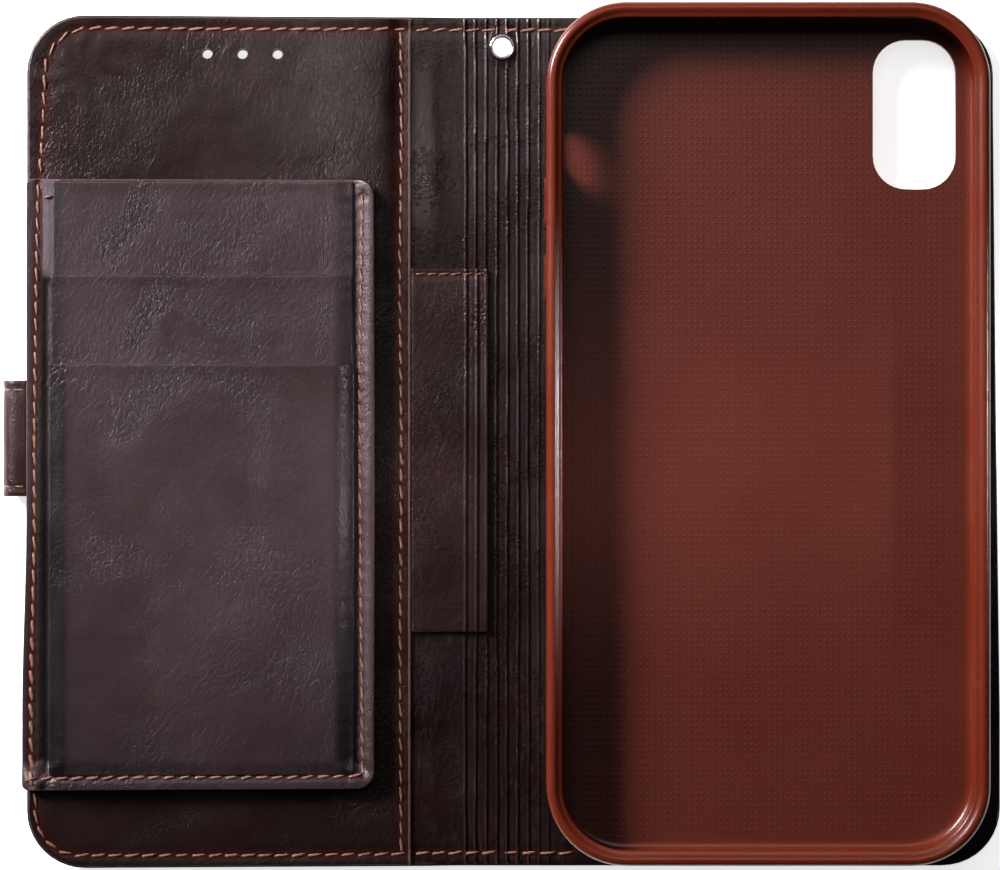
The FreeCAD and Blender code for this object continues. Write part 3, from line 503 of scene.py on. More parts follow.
def leather(name, dark, mid, light, rough=0.42, clusters=(), grain=1.0, lay=(-38, 24), tall=0.0, seed=0.0, red=(44, 16, 14), gloss=0.5, coat=0.06, relief=1.1, haze=0.07,
            cracks=1.0, crack_lay=8):
    """Waxed smooth leather: fine grain, long soft wrinkles that gather in patches, and creased places.
    clusters: (x, y, angle, half length, half width, strength) in mm and degrees."""
    n = Nodes(name)
    off = (seed * 0.37, seed * 0.21, seed * 0.11)
    base = n.mapping(move=off)
    fine = n.noise(base, 2300, 2, 0.6)
    pores = n.new("ShaderNodeTexVoronoi")
    pores.feature = "SMOOTH_F1"
    pores.inputs["Scale"].default_value = 1700
    n.link(base, pores.inputs["Vector"])
    height = n.math("ADD", n.math("MULTIPLY", fine, 0.34 * grain),
                    n.math("MULTIPLY", pores.outputs["Distance"], 0.34 * grain))
    # long wrinkles in two lays, each strong only in patches
    wrinkle = None
    for i, ang in enumerate(lay):
        w = n.noise(n.lay(ang, 0.26, (0.31 * i, off[1], 0)), 1500 + 250 * i, 3, 0.6, 0.4)
        patch = n.range(n.noise(n.mapping(move=(off[0] + 3.1 * i, 1.7, 0)), 42, 2, 0.5), 0.44, 0.66, 0.08, 1.0)
        w = n.math("MULTIPLY", n.math("SUBTRACT", w, 0.5), patch)
        wrinkle = w if wrinkle is None else n.math("ADD", wrinkle, w)
    if tall:
        w = n.noise(n.lay(3, 0.16, (0.2, off[1], 0)), 1400, 3, 0.6, 0.4)
        patch = n.range(n.noise(n.mapping(scale=(1, 0.4, 1), move=(5.0, off[0], 0)), 90, 2, 0.5), 0.45, 0.62, 0.1, 1.0)
        wrinkle = n.math("ADD", wrinkle, n.math("MULTIPLY", n.math("MULTIPLY", n.math("SUBTRACT", w, 0.5), patch), tall))
    height = n.math("ADD", height, n.math("MULTIPLY", wrinkle, relief))
    hair = n.range(n.noise(n.lay(lay[0] * 0.8, 0.13, (0.7, off[1], 0)), 2700, 2, 0.55, 0.6), 0.53, 0.70)
    height = n.math("ADD", height, n.math("MULTIPLY", hair, 0.08 * grain))
    # fine cracks between the plates of the grain, in patches
    wander = n.new("ShaderNodeTexNoise")
    wander.inputs["Scale"].default_value = 700
    n.link(base, wander.inputs["Vector"])
    push = n.new("ShaderNodeVectorMath", operation="MULTIPLY_ADD")
    n.link(wander.outputs["Color"], push.inputs[0])
    push.inputs[1].default_value = (0.0014, 0.0014, 0.0014)
    n.link(n.lay(crack_lay, 0.55, off), push.inputs[2])
    plates = n.new("ShaderNodeTexVoronoi", feature="DISTANCE_TO_EDGE")
    plates.inputs["Scale"].default_value = 1050
    n.link(push.outputs[0], plates.inputs["Vector"])
    crack = n.range(plates.outputs["Distance"], 0.0, 0.16, 1.0, 0.0)
    gather = n.range(n.noise(n.mapping(move=(off[1], 4.0, 0)), 55, 2, 0.5), 0.42, 0.66, 0.10, 0.6)
    creases = None
    warp = n.noise(base, 110, 2, 0.5) if clusters else None
    for i, (cx, cy, ang, ln, wd, amount) in enumerate(clusters):
        # turned coordinates with the crease's middle at the origin
        v = n.new("ShaderNodeMapping")
        v.vector_type = "TEXTURE"
        v.inputs["Location"].default_value = (cx * MM, cy * MM, 0)
        v.inputs["Rotation"].default_value = (0, 0, math.radians(ang))
        n.link(n.coord.outputs["Object"], v.inputs["Vector"])
        sep = n.new("ShaderNodeSeparateXYZ")
        n.link(v.outputs["Vector"], sep.inputs[0])
        yy = n.math("ADD", sep.outputs[1], n.math("MULTIPLY", n.math("SUBTRACT", warp, 0.5), wd * 1.6 * MM))
        mx = n.range(n.math("ABSOLUTE", sep.outputs[0]), ln * 0.45 * MM, ln * MM, 1.0, 0.0)
        my = n.range(n.math("ABSOLUTE", yy), wd * 0.15 * MM, wd * MM, 1.0, 0.0)
        mask = n.math("MULTIPLY", n.math("MULTIPLY", mx, my), amount)
        gather = n.math("MAXIMUM", gather, mask)
        comb = n.new("ShaderNodeCombineXYZ")
        n.link(n.math("MULTIPLY", sep.outputs[0], 0.16), comb.inputs[0])
        n.link(yy, comb.inputs[1])
        comb.inputs[2].default_value = 0.3 * i
        w = n.noise(comb.outputs[0], 1350, 2, 0.55, 0.3)
        line = n.range(n.math("ABSOLUTE", n.math("SUBTRACT", w, 0.5)), 0.0, 0.07, 1.0, 0.0)
        line = n.math("MULTIPLY", line, mask)
        creases = line if creases is None else n.math("MAXIMUM", creases, line)
    crack = n.math("MULTIPLY", crack, gather)
    height = n.math("ADD", height, n.math("MULTIPLY", crack, -0.42 * cracks))
    if creases is not None:
        height = n.math("ADD", height, n.math("MULTIPLY", creases, -0.26))
    fold = n.noise(n.lay(-38, 0.5, (off[0], 0, 0)), 120, 2, 0.5, 0.5)
    height = n.math("ADD", height, n.math("MULTIPLY", fold, 0.9))
    normal = n.bump(height, 0.0001, 1.0)
    broad = n.range(n.noise(n.mapping(move=(9.0, off[0], 0)), 24, 2, 0.5), 0.32, 0.70)
    col = n.mix(broad, lin(*dark), lin(*mid))
    wax = n.range(n.noise(n.mapping(move=(0, 7.0, off[0])), 34, 2, 0.5), 0.50, 0.74)
    col = n.mix(n.math("MULTIPLY", wax, 0.30), col, lin(*red))
    shoulder = n.range(wrinkle, 0.02, 0.13)
    col = n.mix(n.math("MULTIPLY", shoulder, haze), col, lin(*light))
    col = n.mix(n.math("MULTIPLY", hair, haze), col, lin(*light))
    mottled = n.noise(base, 1300, 3, 0.65)
    col = n.mix(n.range(mottled, 0.42, 0.66, 0.0, 0.34), col, lin(*[c * 0.55 for c in dark]))
    # painted shade: the cracks are drawn darker, standing in for the shade that falls in them
    col = n.mix(n.math("MULTIPLY", crack, 0.55 * cracks), col, lin(*[c * 0.45 for c in dark]))
    if creases is not None:
        # painted shade: the creases are drawn darker, standing in for the shade that falls in them
        col = n.mix(n.math("MULTIPLY", creases, 0.85), col, lin(*[c * 0.5 for c in dark]))
    # painted highlight where a piece's rim value is set, and painted shade where its shade value is set
    col = n.mix(n.math("MULTIPLY", n.attribute("rim"), 0.55, clamp=True), col, lin(*light))
    col = n.mix(n.math("MULTIPLY", n.attribute("shade"), 1.0, clamp=True), col, lin(*[c * 0.3 for c in dark]))
    col = n.mix(n.math("MULTIPLY", n.attribute("seam"), 0.9, clamp=True), col, lin(40, 13, 9))
    n.link(col, n.bsdf.inputs["Base Color"])
    r = n.range(n.noise(base, 80, 3, 0.6), 0.3, 0.7, rough - 0.05, rough + 0.07)
    r = n.math("ADD", r, n.math("MULTIPLY", fine, 0.05))
    r = n.math("ADD", r, n.math("MULTIPLY", crack, 0.22))
    if creases is not None:
        r = n.math("ADD", r, n.math("MULTIPLY", creases, 0.35), clamp=True)
    n.link(r, n.bsdf.inputs["Roughness"])
    n.link(normal, n.bsdf.inputs["Normal"])
    n.bsdf.inputs["Specular IOR Level"].default_value = gloss
    n.bsdf.inputs["Specular Tint"].default_value = (1.0, 0.82, 0.86, 1.0)
    n.bsdf.inputs["Coat Weight"].default_value = coat
    n.bsdf.inputs["Coat Roughness"].default_value = 0.28
    return n.mat


def raw_edge(name, a=(150, 92, 78), b=(92, 58, 52)):
    """Cut leather edge: fibres and a thin coat of edge paint."""
    n = Nodes(name)
    v = n.mapping(scale=(1, 1, 3.0))
    f = n.noise(v, 1700, 3, 0.65)
    g = n.noise(n.mapping(), 160, 2, 0.5)
    col = n.mix(n.range(f, 0.35, 0.68), lin(*b), lin(*a))
    col = n.mix(n.range(g, 0.4, 0.7, 0.0, 0.45), col, lin(*b))
    n.link(col, n.bsdf.inputs["Base Color"])
    n.link(n.range(f, 0.3, 0.7, 0.55, 0.8), n.bsdf.inputs["Roughness"])
    n.link(n.bump(f, 0.00008, 0.8), n.bsdf.inputs["Normal"])
    return n.mat


def thread_mat():
    n = Nodes("stitch_thread")
    # the twist value carries each stitch's painted highlight and painted shade
    t = n.attribute("twist")
    f = n.noise(n.mapping(), 3800, 2, 0.6)
    v = n.math("ADD", t, n.math("MULTIPLY", n.math("SUBTRACT", f, 0.5), 0.7))
    col = n.mix(n.range(v, 0.15, 0.95), lin(40, 13, 9), lin(126, 78, 58))
    n.link(col, n.bsdf.inputs["Base Color"])
    n.bsdf.inputs["Roughness"].default_value = 0.55
    n.link(n.range(f, 0.3, 0.7, 0.45, 0.7), n.bsdf.inputs["Roughness"])
    n.bsdf.inputs["Sheen Weight"].default_value = 0.25
    n.link(n.bump(f, 0.00005, 0.8), n.bsdf.inputs["Normal"])
    return n.mat


def shell_mat(name, inner=False):
    n = Nodes(name)
    v = n.mapping()
    big = n.noise(v, 40, 3, 0.5)
    fine = n.noise(v, 1500, 2, 0.5)
    col = n.mix(n.range(big, 0.3, 0.72), lin(90, 30, 17), lin(94, 33, 18))
    col = n.mix(n.range(fine, 0.35, 0.8, 0.0, 0.25), col, lin(84, 26, 14))
    n.link(col, n.bsdf.inputs["Base Color"])
    if inner:
        # the floor lies on the dark lining, which shows through it a little
        col = n.mix(0.42, col, lin(30, 9, 5))
        n.link(col, n.bsdf.inputs["Base Color"])
        # moulded floor: a fine field of shallow dots that lets air out behind the phone
        vor = n.new("ShaderNodeTexVoronoi")
        vor.inputs["Scale"].default_value = 900
        vor.inputs["Randomness"].default_value = 0.0
        n.link(v, vor.inputs["Vector"])
        dots = n.range(vor.outputs["Distance"], 0.18, 0.34, 1.0, 0.0)
        n.link(n.range(big, 0.3, 0.7, 0.41, 0.45), n.bsdf.inputs["Roughness"])
        n.link(n.bump(n.math("ADD", n.math("MULTIPLY", dots, 0.8), n.math("MULTIPLY", fine, 0.2)), 0.00007, 0.8),
               n.bsdf.inputs["Normal"])
    else:
        n.link(n.range(big, 0.3, 0.7, 0.20, 0.30), n.bsdf.inputs["Roughness"])
        n.link(n.bump(n.math("ADD", n.math("MULTIPLY", n.noise(v, 260, 3, 0.5), 0.5), n.math("MULTIPLY", fine, 0.08)), 0.00006, 0.6),
               n.bsdf.inputs["Normal"])
    n.bsdf.inputs["Subsurface Weight"].default_value = 0.08
    n.bsdf.inputs["Subsurface Radius"].default_value = (0.0012, 0.0004, 0.0002)
    n.bsdf.inputs["Specular IOR Level"].default_value = 0.34
    n.bsdf.inputs["Coat Weight"].default_value = 0.06
    n.bsdf.inputs["Coat Roughness"].default_value = 0.14
    return n.mat


def metal(name, colour, rough=0.22, brushed=False):
    n = Nodes(name)
    v = n.mapping(scale=(1, 1, 8.0) if brushed else (1, 1, 1))
    f = n.noise(v, 1400, 4, 0.7)
    g = n.noise(n.mapping(), 300, 3, 0.6)
    n.link(n.mix(n.range(g, 0.35, 0.7), lin(*[c * 0.86 for c in colour]), lin(*colour)), n.bsdf.inputs["Base Color"])
    n.bsdf.inputs["Metallic"].default_value = 1.0
    n.link(n.range(f, 0.3, 0.75, rough - 0.07, rough + 0.13), n.bsdf.inputs["Roughness"])
    n.link(n.bump(f, 0.00002, 0.5), n.bsdf.inputs["Normal"])
    return n.mat


def plain(name, a, b, scale, rough, bumpy=0.00005):
    n = Nodes(name)
    v = n.mapping()
    f = n.noise(v, scale, 4, 0.65)
    g = n.noise(v, scale * 7, 2, 0.6)
    n.link(n.mix(n.range(f, 0.35, 0.68), lin(*a), lin(*b)), n.bsdf.inputs["Base Color"])
    n.link(n.range(g, 0.3, 0.7, rough - 0.08, rough + 0.08), n.bsdf.inputs["Roughness"])
    n.link(n.bump(g, bumpy, 0.7), n.bsdf.inputs["Normal"])
    return n.mat


M_LINING = leather("lining_leather", (20, 9, 8), (30, 16, 14), (80, 60, 60), 0.30, seed=1.0, lay=(-38, 16), tall=0.3, gloss=0.25, cracks=1.35, relief=0.8,
                   clusters=[(-62, 57, 52, 13, 5, 0.6), (-40, 66, -40, 9, 4, 0.5), (-28, 62, -70, 11, 4, 0.8), (-68, 52, 40, 8, 3, 0.6),
                             (-60, -71, 20, 12, 4, 0.5), (-24, 50, -78, 14, 3.5, 0.9), (-29, 56, 84, 24, 11, 0.9)])
M_SPINE = leather("spine_leather", (11, 5, 5), (18, 9, 8), (92, 72, 72), 0.25, seed=2.0, lay=(-14, 10), tall=1.0, gloss=0.36, relief=0.7, crack_lay=82, cracks=0.22)
M_LEAF = leather("leaf_leather", (39, 27, 29), (50, 37, 41), (84, 72, 78), 0.37, seed=3.4, lay=(-42, 22), tall=0.25, relief=0.85, gloss=0.48, cracks=1.5,
                 clusters=[(-66.8, 38, 56, 12, 4.5, 1.0), (-52.3, 35.2, -33, 10, 3.0, 0.6), (-46, 37, 5, 3.6, 9, 0.55), (-31.6, 36, 88, 9, 2.6, 0.6),
                           (-64.3, 21.5, 53, 10, 4.5, 1.0), (-52.3, 21, -36, 9, 3.0, 0.6), (-45.5, 20, 5, 3.6, 8, 0.55), (-31.4, 20, 88, 9, 2.6, 0.6),
                           (-64, 6, 50, 13, 5.0, 0.9), (-46, 8, -30, 10, 3.4, 0.7), (-43, -2, 84, 12, 2.6, 0.5),
                           (-40, -42, 18, 16, 3.2, 0.6), (-62, -30, 40, 11, 3.4, 0.4)])
M_PATCH = leather("patch_leather", (20, 9, 8), (32, 17, 15), (92, 72, 72), 0.28, seed=4.2, lay=(-30, 14), tall=0.9, gloss=0.36)
M_OUTER = leather("outer_leather", (26, 14, 12), (38, 22, 20), (80, 62, 60), 0.33, seed=5.3, red=(60, 22, 18), tall=0.4, gloss=0.4,
                  clusters=[(-50, 20, 40, 18, 5, 0.7), (40, -30, -50, 20, 5, 0.7), (50, 50, 35, 14, 4, 0.6)])
M_STRAP = leather("strap_leather", (28, 12, 11), (42, 19, 17), (90, 58, 54), 0.30, seed=6.1, red=(66, 22, 18), lay=(80, 100), tall=0.0)
M_EDGE = raw_edge("raw_leather_edge", (96, 54, 46), (58, 32, 28))
M_EDGE_DARK = raw_edge("dark_leather_edge", (64, 42, 38), (36, 24, 22))
M_THREAD = thread_mat()
M_SHELL = shell_mat("shell_outside")
M_FLOOR = shell_mat("shell_inside", True)
M_EYELET = metal("eyelet_nickel", (226, 226, 228), 0.16)
M_STEEL = metal("plated_steel", (176, 176, 178), 0.30, True)
M_BOARD = plain("fibre_board", (118, 104, 86), (142, 126, 104), 300, 0.8)
M_GLUE = plain("adhesive_film", (205, 200, 182), (222, 218, 204), 200, 0.45)


# ------------------------------------------------------------------ shared height fields (mm)
def bend_share(x, zone):
    return 1 - smooth(zone[0], zone[1], x)


SKIN2, SKIN1 = (-11.3, -4.1), (3.9, 11.1)     # outer skin bends over these lengths
LIN2, LIN1 = (-10.4, -5.0), (4.9, 10.1)       # inner leather bends over these


def sloped(zone):
    return lambda co: slope(co, bend_share(np.asarray(co)[:, 0], zone))


BORDER_TOP = [(12.6, 74.0), (-10.0, 74.1), (-45.0, 73.9), (-73.9, 74.0)]
BORDER_LEFT = [(-82.2, 65.6), (-82.5, 57.0), (-83.3, 43.5), (-83.9, 3.0), (-83.95, -40.0), (-83.9, -67.4)]
BORDER = (BORDER_TOP + arc(-73.9, 65.7, 8.3, 90, 180, 8)[1:-1] + BORDER_LEFT
          + arc(-75.9, -67.4, 8.0, 180, 270, 8)[1:] + [(-40.0, -75.6), (0.0, -75.35), (13.6, -75.4)])
SEAM_PATH = [(-17.9, -75.3), (-18.1, -40.0), (-17.9, 0.0), (-18.15, 30.0), (-17.85, 55.0), (-18.0, 73.9)]
W_FRONT = waves(11, 9, 16, 70)
W_SPINE = waves(12, 8, 9, 60)
W_LEAF = waves(13, 9, 14, 60)
W_SMALL = waves(14, 12, 3.0, 8.0)
RIBS = [-6.26, -4.36, -2.49, -0.58, 1.32, 3.27, 5.13, 7.08, 8.95]
EYE = (0.4, 70.9)


def seam_dip(x, y, path, deep=0.21, wide=0.5, soft=0.12, pucker=0.05, pitch=2.7, ph=0.0):
    d, s = near(x, y, path)
    out = -deep * np.exp(-(d / wide) ** 2) - soft * np.exp(-(d / 1.9) ** 2)
    return out + pucker * np.sin(2 * math.pi * s / pitch + ph + d * 1.4) * np.exp(-(d / 1.7) ** 2)


def front_top(x, y):
    h = 0.10 * W_FRONT(x, y) + 0.022 * W_SMALL(x, y)
    h = h + 0.50 * smooth(-36, -22, x) * smooth(15, 60, y) * (1 - smooth(-20.5, -18.3, x))
    h = h + 0.45 * smooth(-40, -24, x) * smooth(48, 60, y) * (1 - smooth(-21.5, -18.3, x)) * (1 - smooth(68, 73, y))
    h = h + seam_dip(x, y, BORDER) + seam_dip(x, y, SEAM_PATH, ph=1.0)
    # folds gathered at the upper left corner and along the top edge
    c = np.hypot(x + 76, y - 67)
    a = np.arctan2(y - 67, x + 76)
    h = h + 0.09 * np.sin(9 * a + 0.25 * c) * np.exp(-((c - 6.0) / 4.5) ** 2)
    h = h + 0.05 * np.sin(x * 1.9 + 0.8 * np.sin(x * 0.31)) * np.exp(-((y - 71.6) / 1.6) ** 2)
    return h


def spine_top(x, y):
    """Above the plain inner leather at Z 2.45 to 2.7."""
    h = -0.25 * (1 - smooth(4.5, 8.5, x)) + 0.05 * W_SPINE(x * 1.0, y * 0.35)
    for i, r in enumerate(RIBS):
        xr = r + 0.10 * np.sin(y * 0.045 + i * 1.7) + 0.04 * np.sin(y * 0.31 + i)
        h = h + (0.27 - 0.02 * i * (i > 6)) * np.exp(-((x - xr) / 0.17) ** 2)
        h = h - 0.06 * np.exp(-((x - xr - 0.5) / 0.35) ** 2)
    h = h + seam_dip(x, y, BORDER, deep=0.24, soft=0.06)
    # a soft swelling along the plain strip, above and below the patch
    swell = 0.22 * smooth(31.5, 40, y) * (1 - smooth(66, 73, y)) + 0.16 * (1 - smooth(-44, -36.5, y)) * smooth(-74, -68, y)
    h = h + swell * (1 + 0.25 * np.sin(y * 0.35) * np.sin(y * 0.11)) * np.exp(-((x + 12.2 + 0.3 * np.sin(y * 0.13)) / 1.5) ** 2)
    flat = np.exp(-(np.maximum(np.hypot(x - EYE[0], y - EYE[1]) - 2.3, 0) / 0.6) ** 2)
    return h * (1 - flat) + flat * -0.03


def column(xs, *extra):
    """Column positions in mm, denser where they are wanted: xs is (start, end, step) groups."""
    out = []
    for a, b, st in xs:
        n = max(1, int(round((b - a) / st)))
        out += list(np.linspace(a, b, n + 1))
    out = sorted(set(round(v, 4) for v in out))
    return out


def share(values, x0, x1, core):
    v = np.array([q for q in values if x0 + core < q < x1 - core])
    t = (v - x0 - core) / (x1 - x0 - 2 * core)
    return np.concatenate([[0.0], t, [1.0]])


def done(ob, slot_name, nodes=(), body=None, bend=None):
    """Hides the CAD nodes a piece stands for, and puts it on its body if one is given; with a bend given, bakes its
    place into its mesh.
    """
    if nodes:
        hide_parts(*nodes)
    if body:
        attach(ob, body)
    if bend:
        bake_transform(ob)
    return ob


def reshape(ob, fn):
    n = len(ob.data.vertices)
    co = np.empty(n * 3, np.float64)
    ob.data.vertices.foreach_get("co", co)
    co = fn(co.reshape(-1, 3) / MM) * MM
    ob.data.vertices.foreach_set("co", co.reshape(-1).astype(np.float32))
    ob.data.update()
    return ob


def split(ob, x, name_left, name_right):
    other = ob.copy()
    other.data = ob.data.copy()
    bpy.context.scene.collection.objects.link(other)
    ob.name, other.name = name_left, name_right
    cut_x(ob, x, True)
    cut_x(other, x, False)
    return ob, other


def edge_by(ob, fn, every=False):
    """Gives each edge face (slot 1), or every face, the material slot fn(x, y, z) names; None leaves it."""
    for p in ob.data.polygons:
        if every or p.material_index == 1:
            c = p.center
            k = fn(c[0] / MM, c[1] / MM, c[2] / MM)
            if k is not None:
                p.material_index = k
    return ob


def bend_at(zone, a, b):
    """A blend across an upright zone of X, in the order body a (low X) to body b."""
    return (a, b, (zone[0], 0, 2.7), (zone[1], 0, 2.7))


# ------------------------------------------------------------------ outer skin, both halves
cols = column([(LEFT, -20, 1.5), (-20, 20, 0.6), (20, RIGHT, 1.6)])
W_SKIN = waves(21, 9, 14, 60)


def skin_under(x, y):
    h = 0.05 + 0.045 * W_SKIN(x, y) + 0.012 * W_SMALL(x, y)
    d, s = near(x, y, BORDER)
    h = h + 0.34 * np.exp(-(d / 0.55) ** 2) + 0.05 * np.exp(-(d / 1.6) ** 2)
    d, s = near(x, y, SEAM_PATH)
    return np.maximum(h + 0.34 * np.exp(-(d / 0.55) ** 2), 0.0)


def tray(name, x0, x1, y0, y1, z0, z1, zin, rim, radii, under, mats, cols, rows_mm):
    """The turned leather skin: a sheet whose rim comes up round the board."""
    core = max(radii)
    tx, ty = share(cols, x0, x1, core), share(rows_mm, y0, y1, core)
    thick = z1 - z0
    e = 0.45
    spec = [(i, 0.0, 0) for i in ([e] + steps(e, core, 0.35))[::-1][:-1]]
    for k in range(6):
        an = math.radians(-90 + 18.0 * k)
        spec.append((e * (1 - math.cos(an)), (e + e * math.sin(an)) / thick, 0))
    for k in range(5):
        an = math.radians(22.5 * k)
        spec.append((0.3 * (1 - math.cos(an)), 1 - (0.3 - 0.3 * math.sin(an)) / thick, 0))
    spec += [(rim, 1.0, 0), (rim + 0.06, 0.0, 1)]
    spec += [(i, 0.0, 1) for i in steps(rim + 0.06, core, 1.0, cap=3.0)]
    co, inner, rows = [], [], []
    for inset, f, flag in spec:
        pts = ring(x0, x1, y0, y1, radii, inset, tx, ty, 10)
        rows.append(len(co))
        co += [(x, y, f) for x, y in pts]
        inner += [flag] * len(pts)
    n = len(pts)
    faces = []
    for k in range(len(spec) - 1):
        a, b = rows[k], rows[k + 1]
        faces += [(a + i, a + (i + 1) % n, b + (i + 1) % n, b + i) for i in range(n)]
    gx = x0 + core + (x1 - x0 - 2 * core) * tx
    gy = y0 + core + (y1 - y0 - 2 * core) * ty
    for flag in (0, 1):
        base = len(co)
        for yy in gy:
            co += [(xx, yy, 0.0) for xx in gx]
            inner += [flag] * len(gx)
        w = len(gx)
        for j in range(len(gy) - 1):
            for i in range(w - 1):
                q = (base + j * w + i, base + j * w + i + 1, base + (j + 1) * w + i + 1, base + (j + 1) * w + i)
                faces.append(q if flag else q[::-1])
    co = np.array(co)
    x, y, f = co[:, 0], co[:, 1], co[:, 2]
    inner = np.array(inner, bool)
    top = z1 - 0.54 * smooth(-14, -8, x)
    low = z0 + under(x, y)
    z = low + (top - low) * f
    co[:, 2] = np.where(inner, zin, z)
    return mesh_object(name, co, faces, mats)


def hole_posts(shape=None):
    out = []
    for i, hx in enumerate((-53.0, -46.65, -40.3)):
        out.append(post(f"cut_ear_{i}", arc(hx, 69.5, 0.95, 0, 345, 23), -3, 9, shape=shape))
    return out


rows_skin = column([(BOTTOM, TOP, 1.5)])
skin = tray("skin", LEFT, RIGHT, BOTTOM, TOP, 0.0, 2.42, 0.9, 0.8, (CORNER,) * 4, skin_under, [M_OUTER], cols, rows_skin)
front_skin, back_skin = split(skin, MID, "front_cover_skin", "back_cover_skin")
cut = hole_posts()
eye_post = post("cut_eye", arc(EYE[0], EYE[1], 1.95, 0, 352.5, 47), -3, 6)
bore(front_skin, cut + [eye_post])
CAM = stadium(66.5, 83.5, 44.0, 73.0, 7.0)
camera_post = post("cut_camera", CAM, -3, 4)
bore(back_skin, [camera_post, eye_post])
reshape(front_skin, sloped(SKIN2))


def askew(co):
    """The back cover's free edge runs out a little towards its lower end."""
    out = np.array(co, float)
    out[:, 0] += np.where(out[:, 1] < 5, 0.7, 0.55) * np.clip((5 - out[:, 1]) / 55, -1, 1) * smooth(72, 86, out[:, 0])
    return out


reshape(back_skin, askew)

# ------------------------------------------------------------------ inner leather
lining = slab("front_lining_sheet", LEFT + 0.35, SEAM, BOTTOM + 0.35, TOP - 0.35, 2.45, 3.0,
              (10.15, 0, 0, 10.15), edge=0.24, top=front_top, mats=[M_LINING, M_EDGE, M_EDGE_DARK], edge_slot=1,
              tx=share(column([(LEFT, SEAM, 0.75)]), LEFT + 0.35, SEAM, 10.15),
              ty=share(column([(BOTTOM, TOP, 0.75)]), BOTTOM + 0.35, TOP - 0.35, 10.15),
              attrs={"seam": lambda x, y: np.exp(-(np.minimum(near(x, y, BORDER)[0], near(x, y, SEAM_PATH)[0]) / 0.5) ** 2)})
edge_by(lining, lambda x, y, z: 1 if x > SEAM - 0.3 else 2)
edge_by(lining, lambda x, y, z: 1 if x > SEAM - 0.52 else None, every=True)
bore(lining, cut)
reshape(lining, lambda co: slope(co))


def inner_sheet():
    """Strips of the inner leather: built as a plain grid so that the ribs stay sharp right up to its ends."""
    x0, x1, y0, y1 = -20.0, RIGHT - 0.35, BOTTOM + 0.35, TOP - 0.35
    xs = column([(x0, -8, 0.6), (-8, 10.4, 0.15), (10.4, 13, 0.5), (13, x1 - 10.15, 1.7)])
    ext = [x1 - 10.15 + 10.15 * math.sin(math.radians(90 * i / 12)) for i in range(1, 13)]
    xs = np.array(xs + ext)
    ys = np.linspace(-1, 1, 150)
    half = (y1 - y0) / 2
    mid = (y0 + y1) / 2
    reach = np.full(len(xs), half)
    for i, x in enumerate(xs):
        q = x - (x1 - 10.15)
        if q > 0:
            reach[i] = half - 10.15 + math.sqrt(max(10.15 ** 2 - q * q, 0.0))
    co, faces = [], []
    ny, nx = len(ys), len(xs)
    edge = 0.22
    for top in (1, 0):
        for i, x in enumerate(xs):
            for v in ys:
                y = mid + v * reach[i]
                co.append((x, y, top))
    co = np.array(co, float)
    up = co[:, 2] > 0.5
    z = np.where(up, 2.7 + spine_top(co[:, 0], co[:, 1]), 1.9)
    # roll the sheet's ends
    over = np.maximum(np.abs(co[:, 1] - mid) - np.repeat(np.tile(reach, 2), ny) + edge, 0)
    z = np.where(up, z - 0.9 * (edge - np.sqrt(np.maximum(edge ** 2 - np.minimum(over, edge) ** 2, 0))), z)
    co[:, 2] = z
    o = nx * ny
    for i in range(nx - 1):
        for j in range(ny - 1):
            a = i * ny + j
            faces.append((a, a + ny, a + ny + 1, a + 1))
            faces.append((o + a, o + a + 1, o + a + ny + 1, o + a + ny))
    index = [0] * len(faces)
    for i in range(nx - 1):
        for j in (0, ny - 1):
            a, b = i * ny + j, (i + 1) * ny + j
            faces.append((a, b, o + b, o + a))
            index.append(1)
    for i in (0, nx - 1):
        for j in range(ny - 1):
            a, b = i * ny + j, i * ny + j + 1
            faces.append((a, b, o + b, o + a))
            index.append(1)
    return mesh_object("inner_leather", co, faces, [M_SPINE, M_EDGE_DARK], index,
                       attrs={"seam": np.where(up, np.exp(-(near(co[:, 0], co[:, 1], BORDER)[0] / 0.5) ** 2), 0)})


sheet = inner_sheet()
spine_front, back_lining = split(sheet, MID, "spine_leather_front_half", "back_lining_sheet")
eye_wide = post("cut_eye_wide", arc(EYE[0], EYE[1], 1.95, 0, 352.5, 47), 1, 6)
bore(back_lining, [camera_post, eye_wide])
reshape(back_lining, askew)
bore(spine_front, [eye_wide])
reshape(spine_front, sloped(LIN2))


def patch_top(x, y):
    h = 0.04 * W_SPINE(x * 1.1 + 5, y * 0.4)
    for i, r in enumerate((-6.2, -4.2, -2.45)):
        xr = r + 0.05 * np.sin(y * 0.08 + i)
        h = h + 0.25 * np.exp(-((x - xr) / 0.22) ** 2)
        h = h - 0.07 * np.exp(-((x - xr - 0.6) / 0.3) ** 2)
    d = np.abs(y - 29.7)
    # no rib reaches the shell's wall when the case is shut
    return np.minimum(h - 0.16 * np.exp(-(d / 0.5) ** 2), 0.22)


patch = slab("spine_patch_piece", -16.05, -2.0, -35.3, 30.6, 2.7, 3.3, (0, 0.5, 0.5, 0), edge=0.2, top=patch_top,
             mats=[M_PATCH],
             tx=share(column([(-16.05, -8, 0.5), (-8, -2, 0.11)]), -16.05, -2.0, 0.6),
             ty=share(column([(-35.3, 30.6, 0.9)]), -35.3, 30.6, 0.6), core=0.6,
             attrs={"seam": lambda x, y: 0.7 * np.exp(-(np.abs(y - 29.7) / 0.35) ** 2)})
reshape(patch, sloped(LIN2))

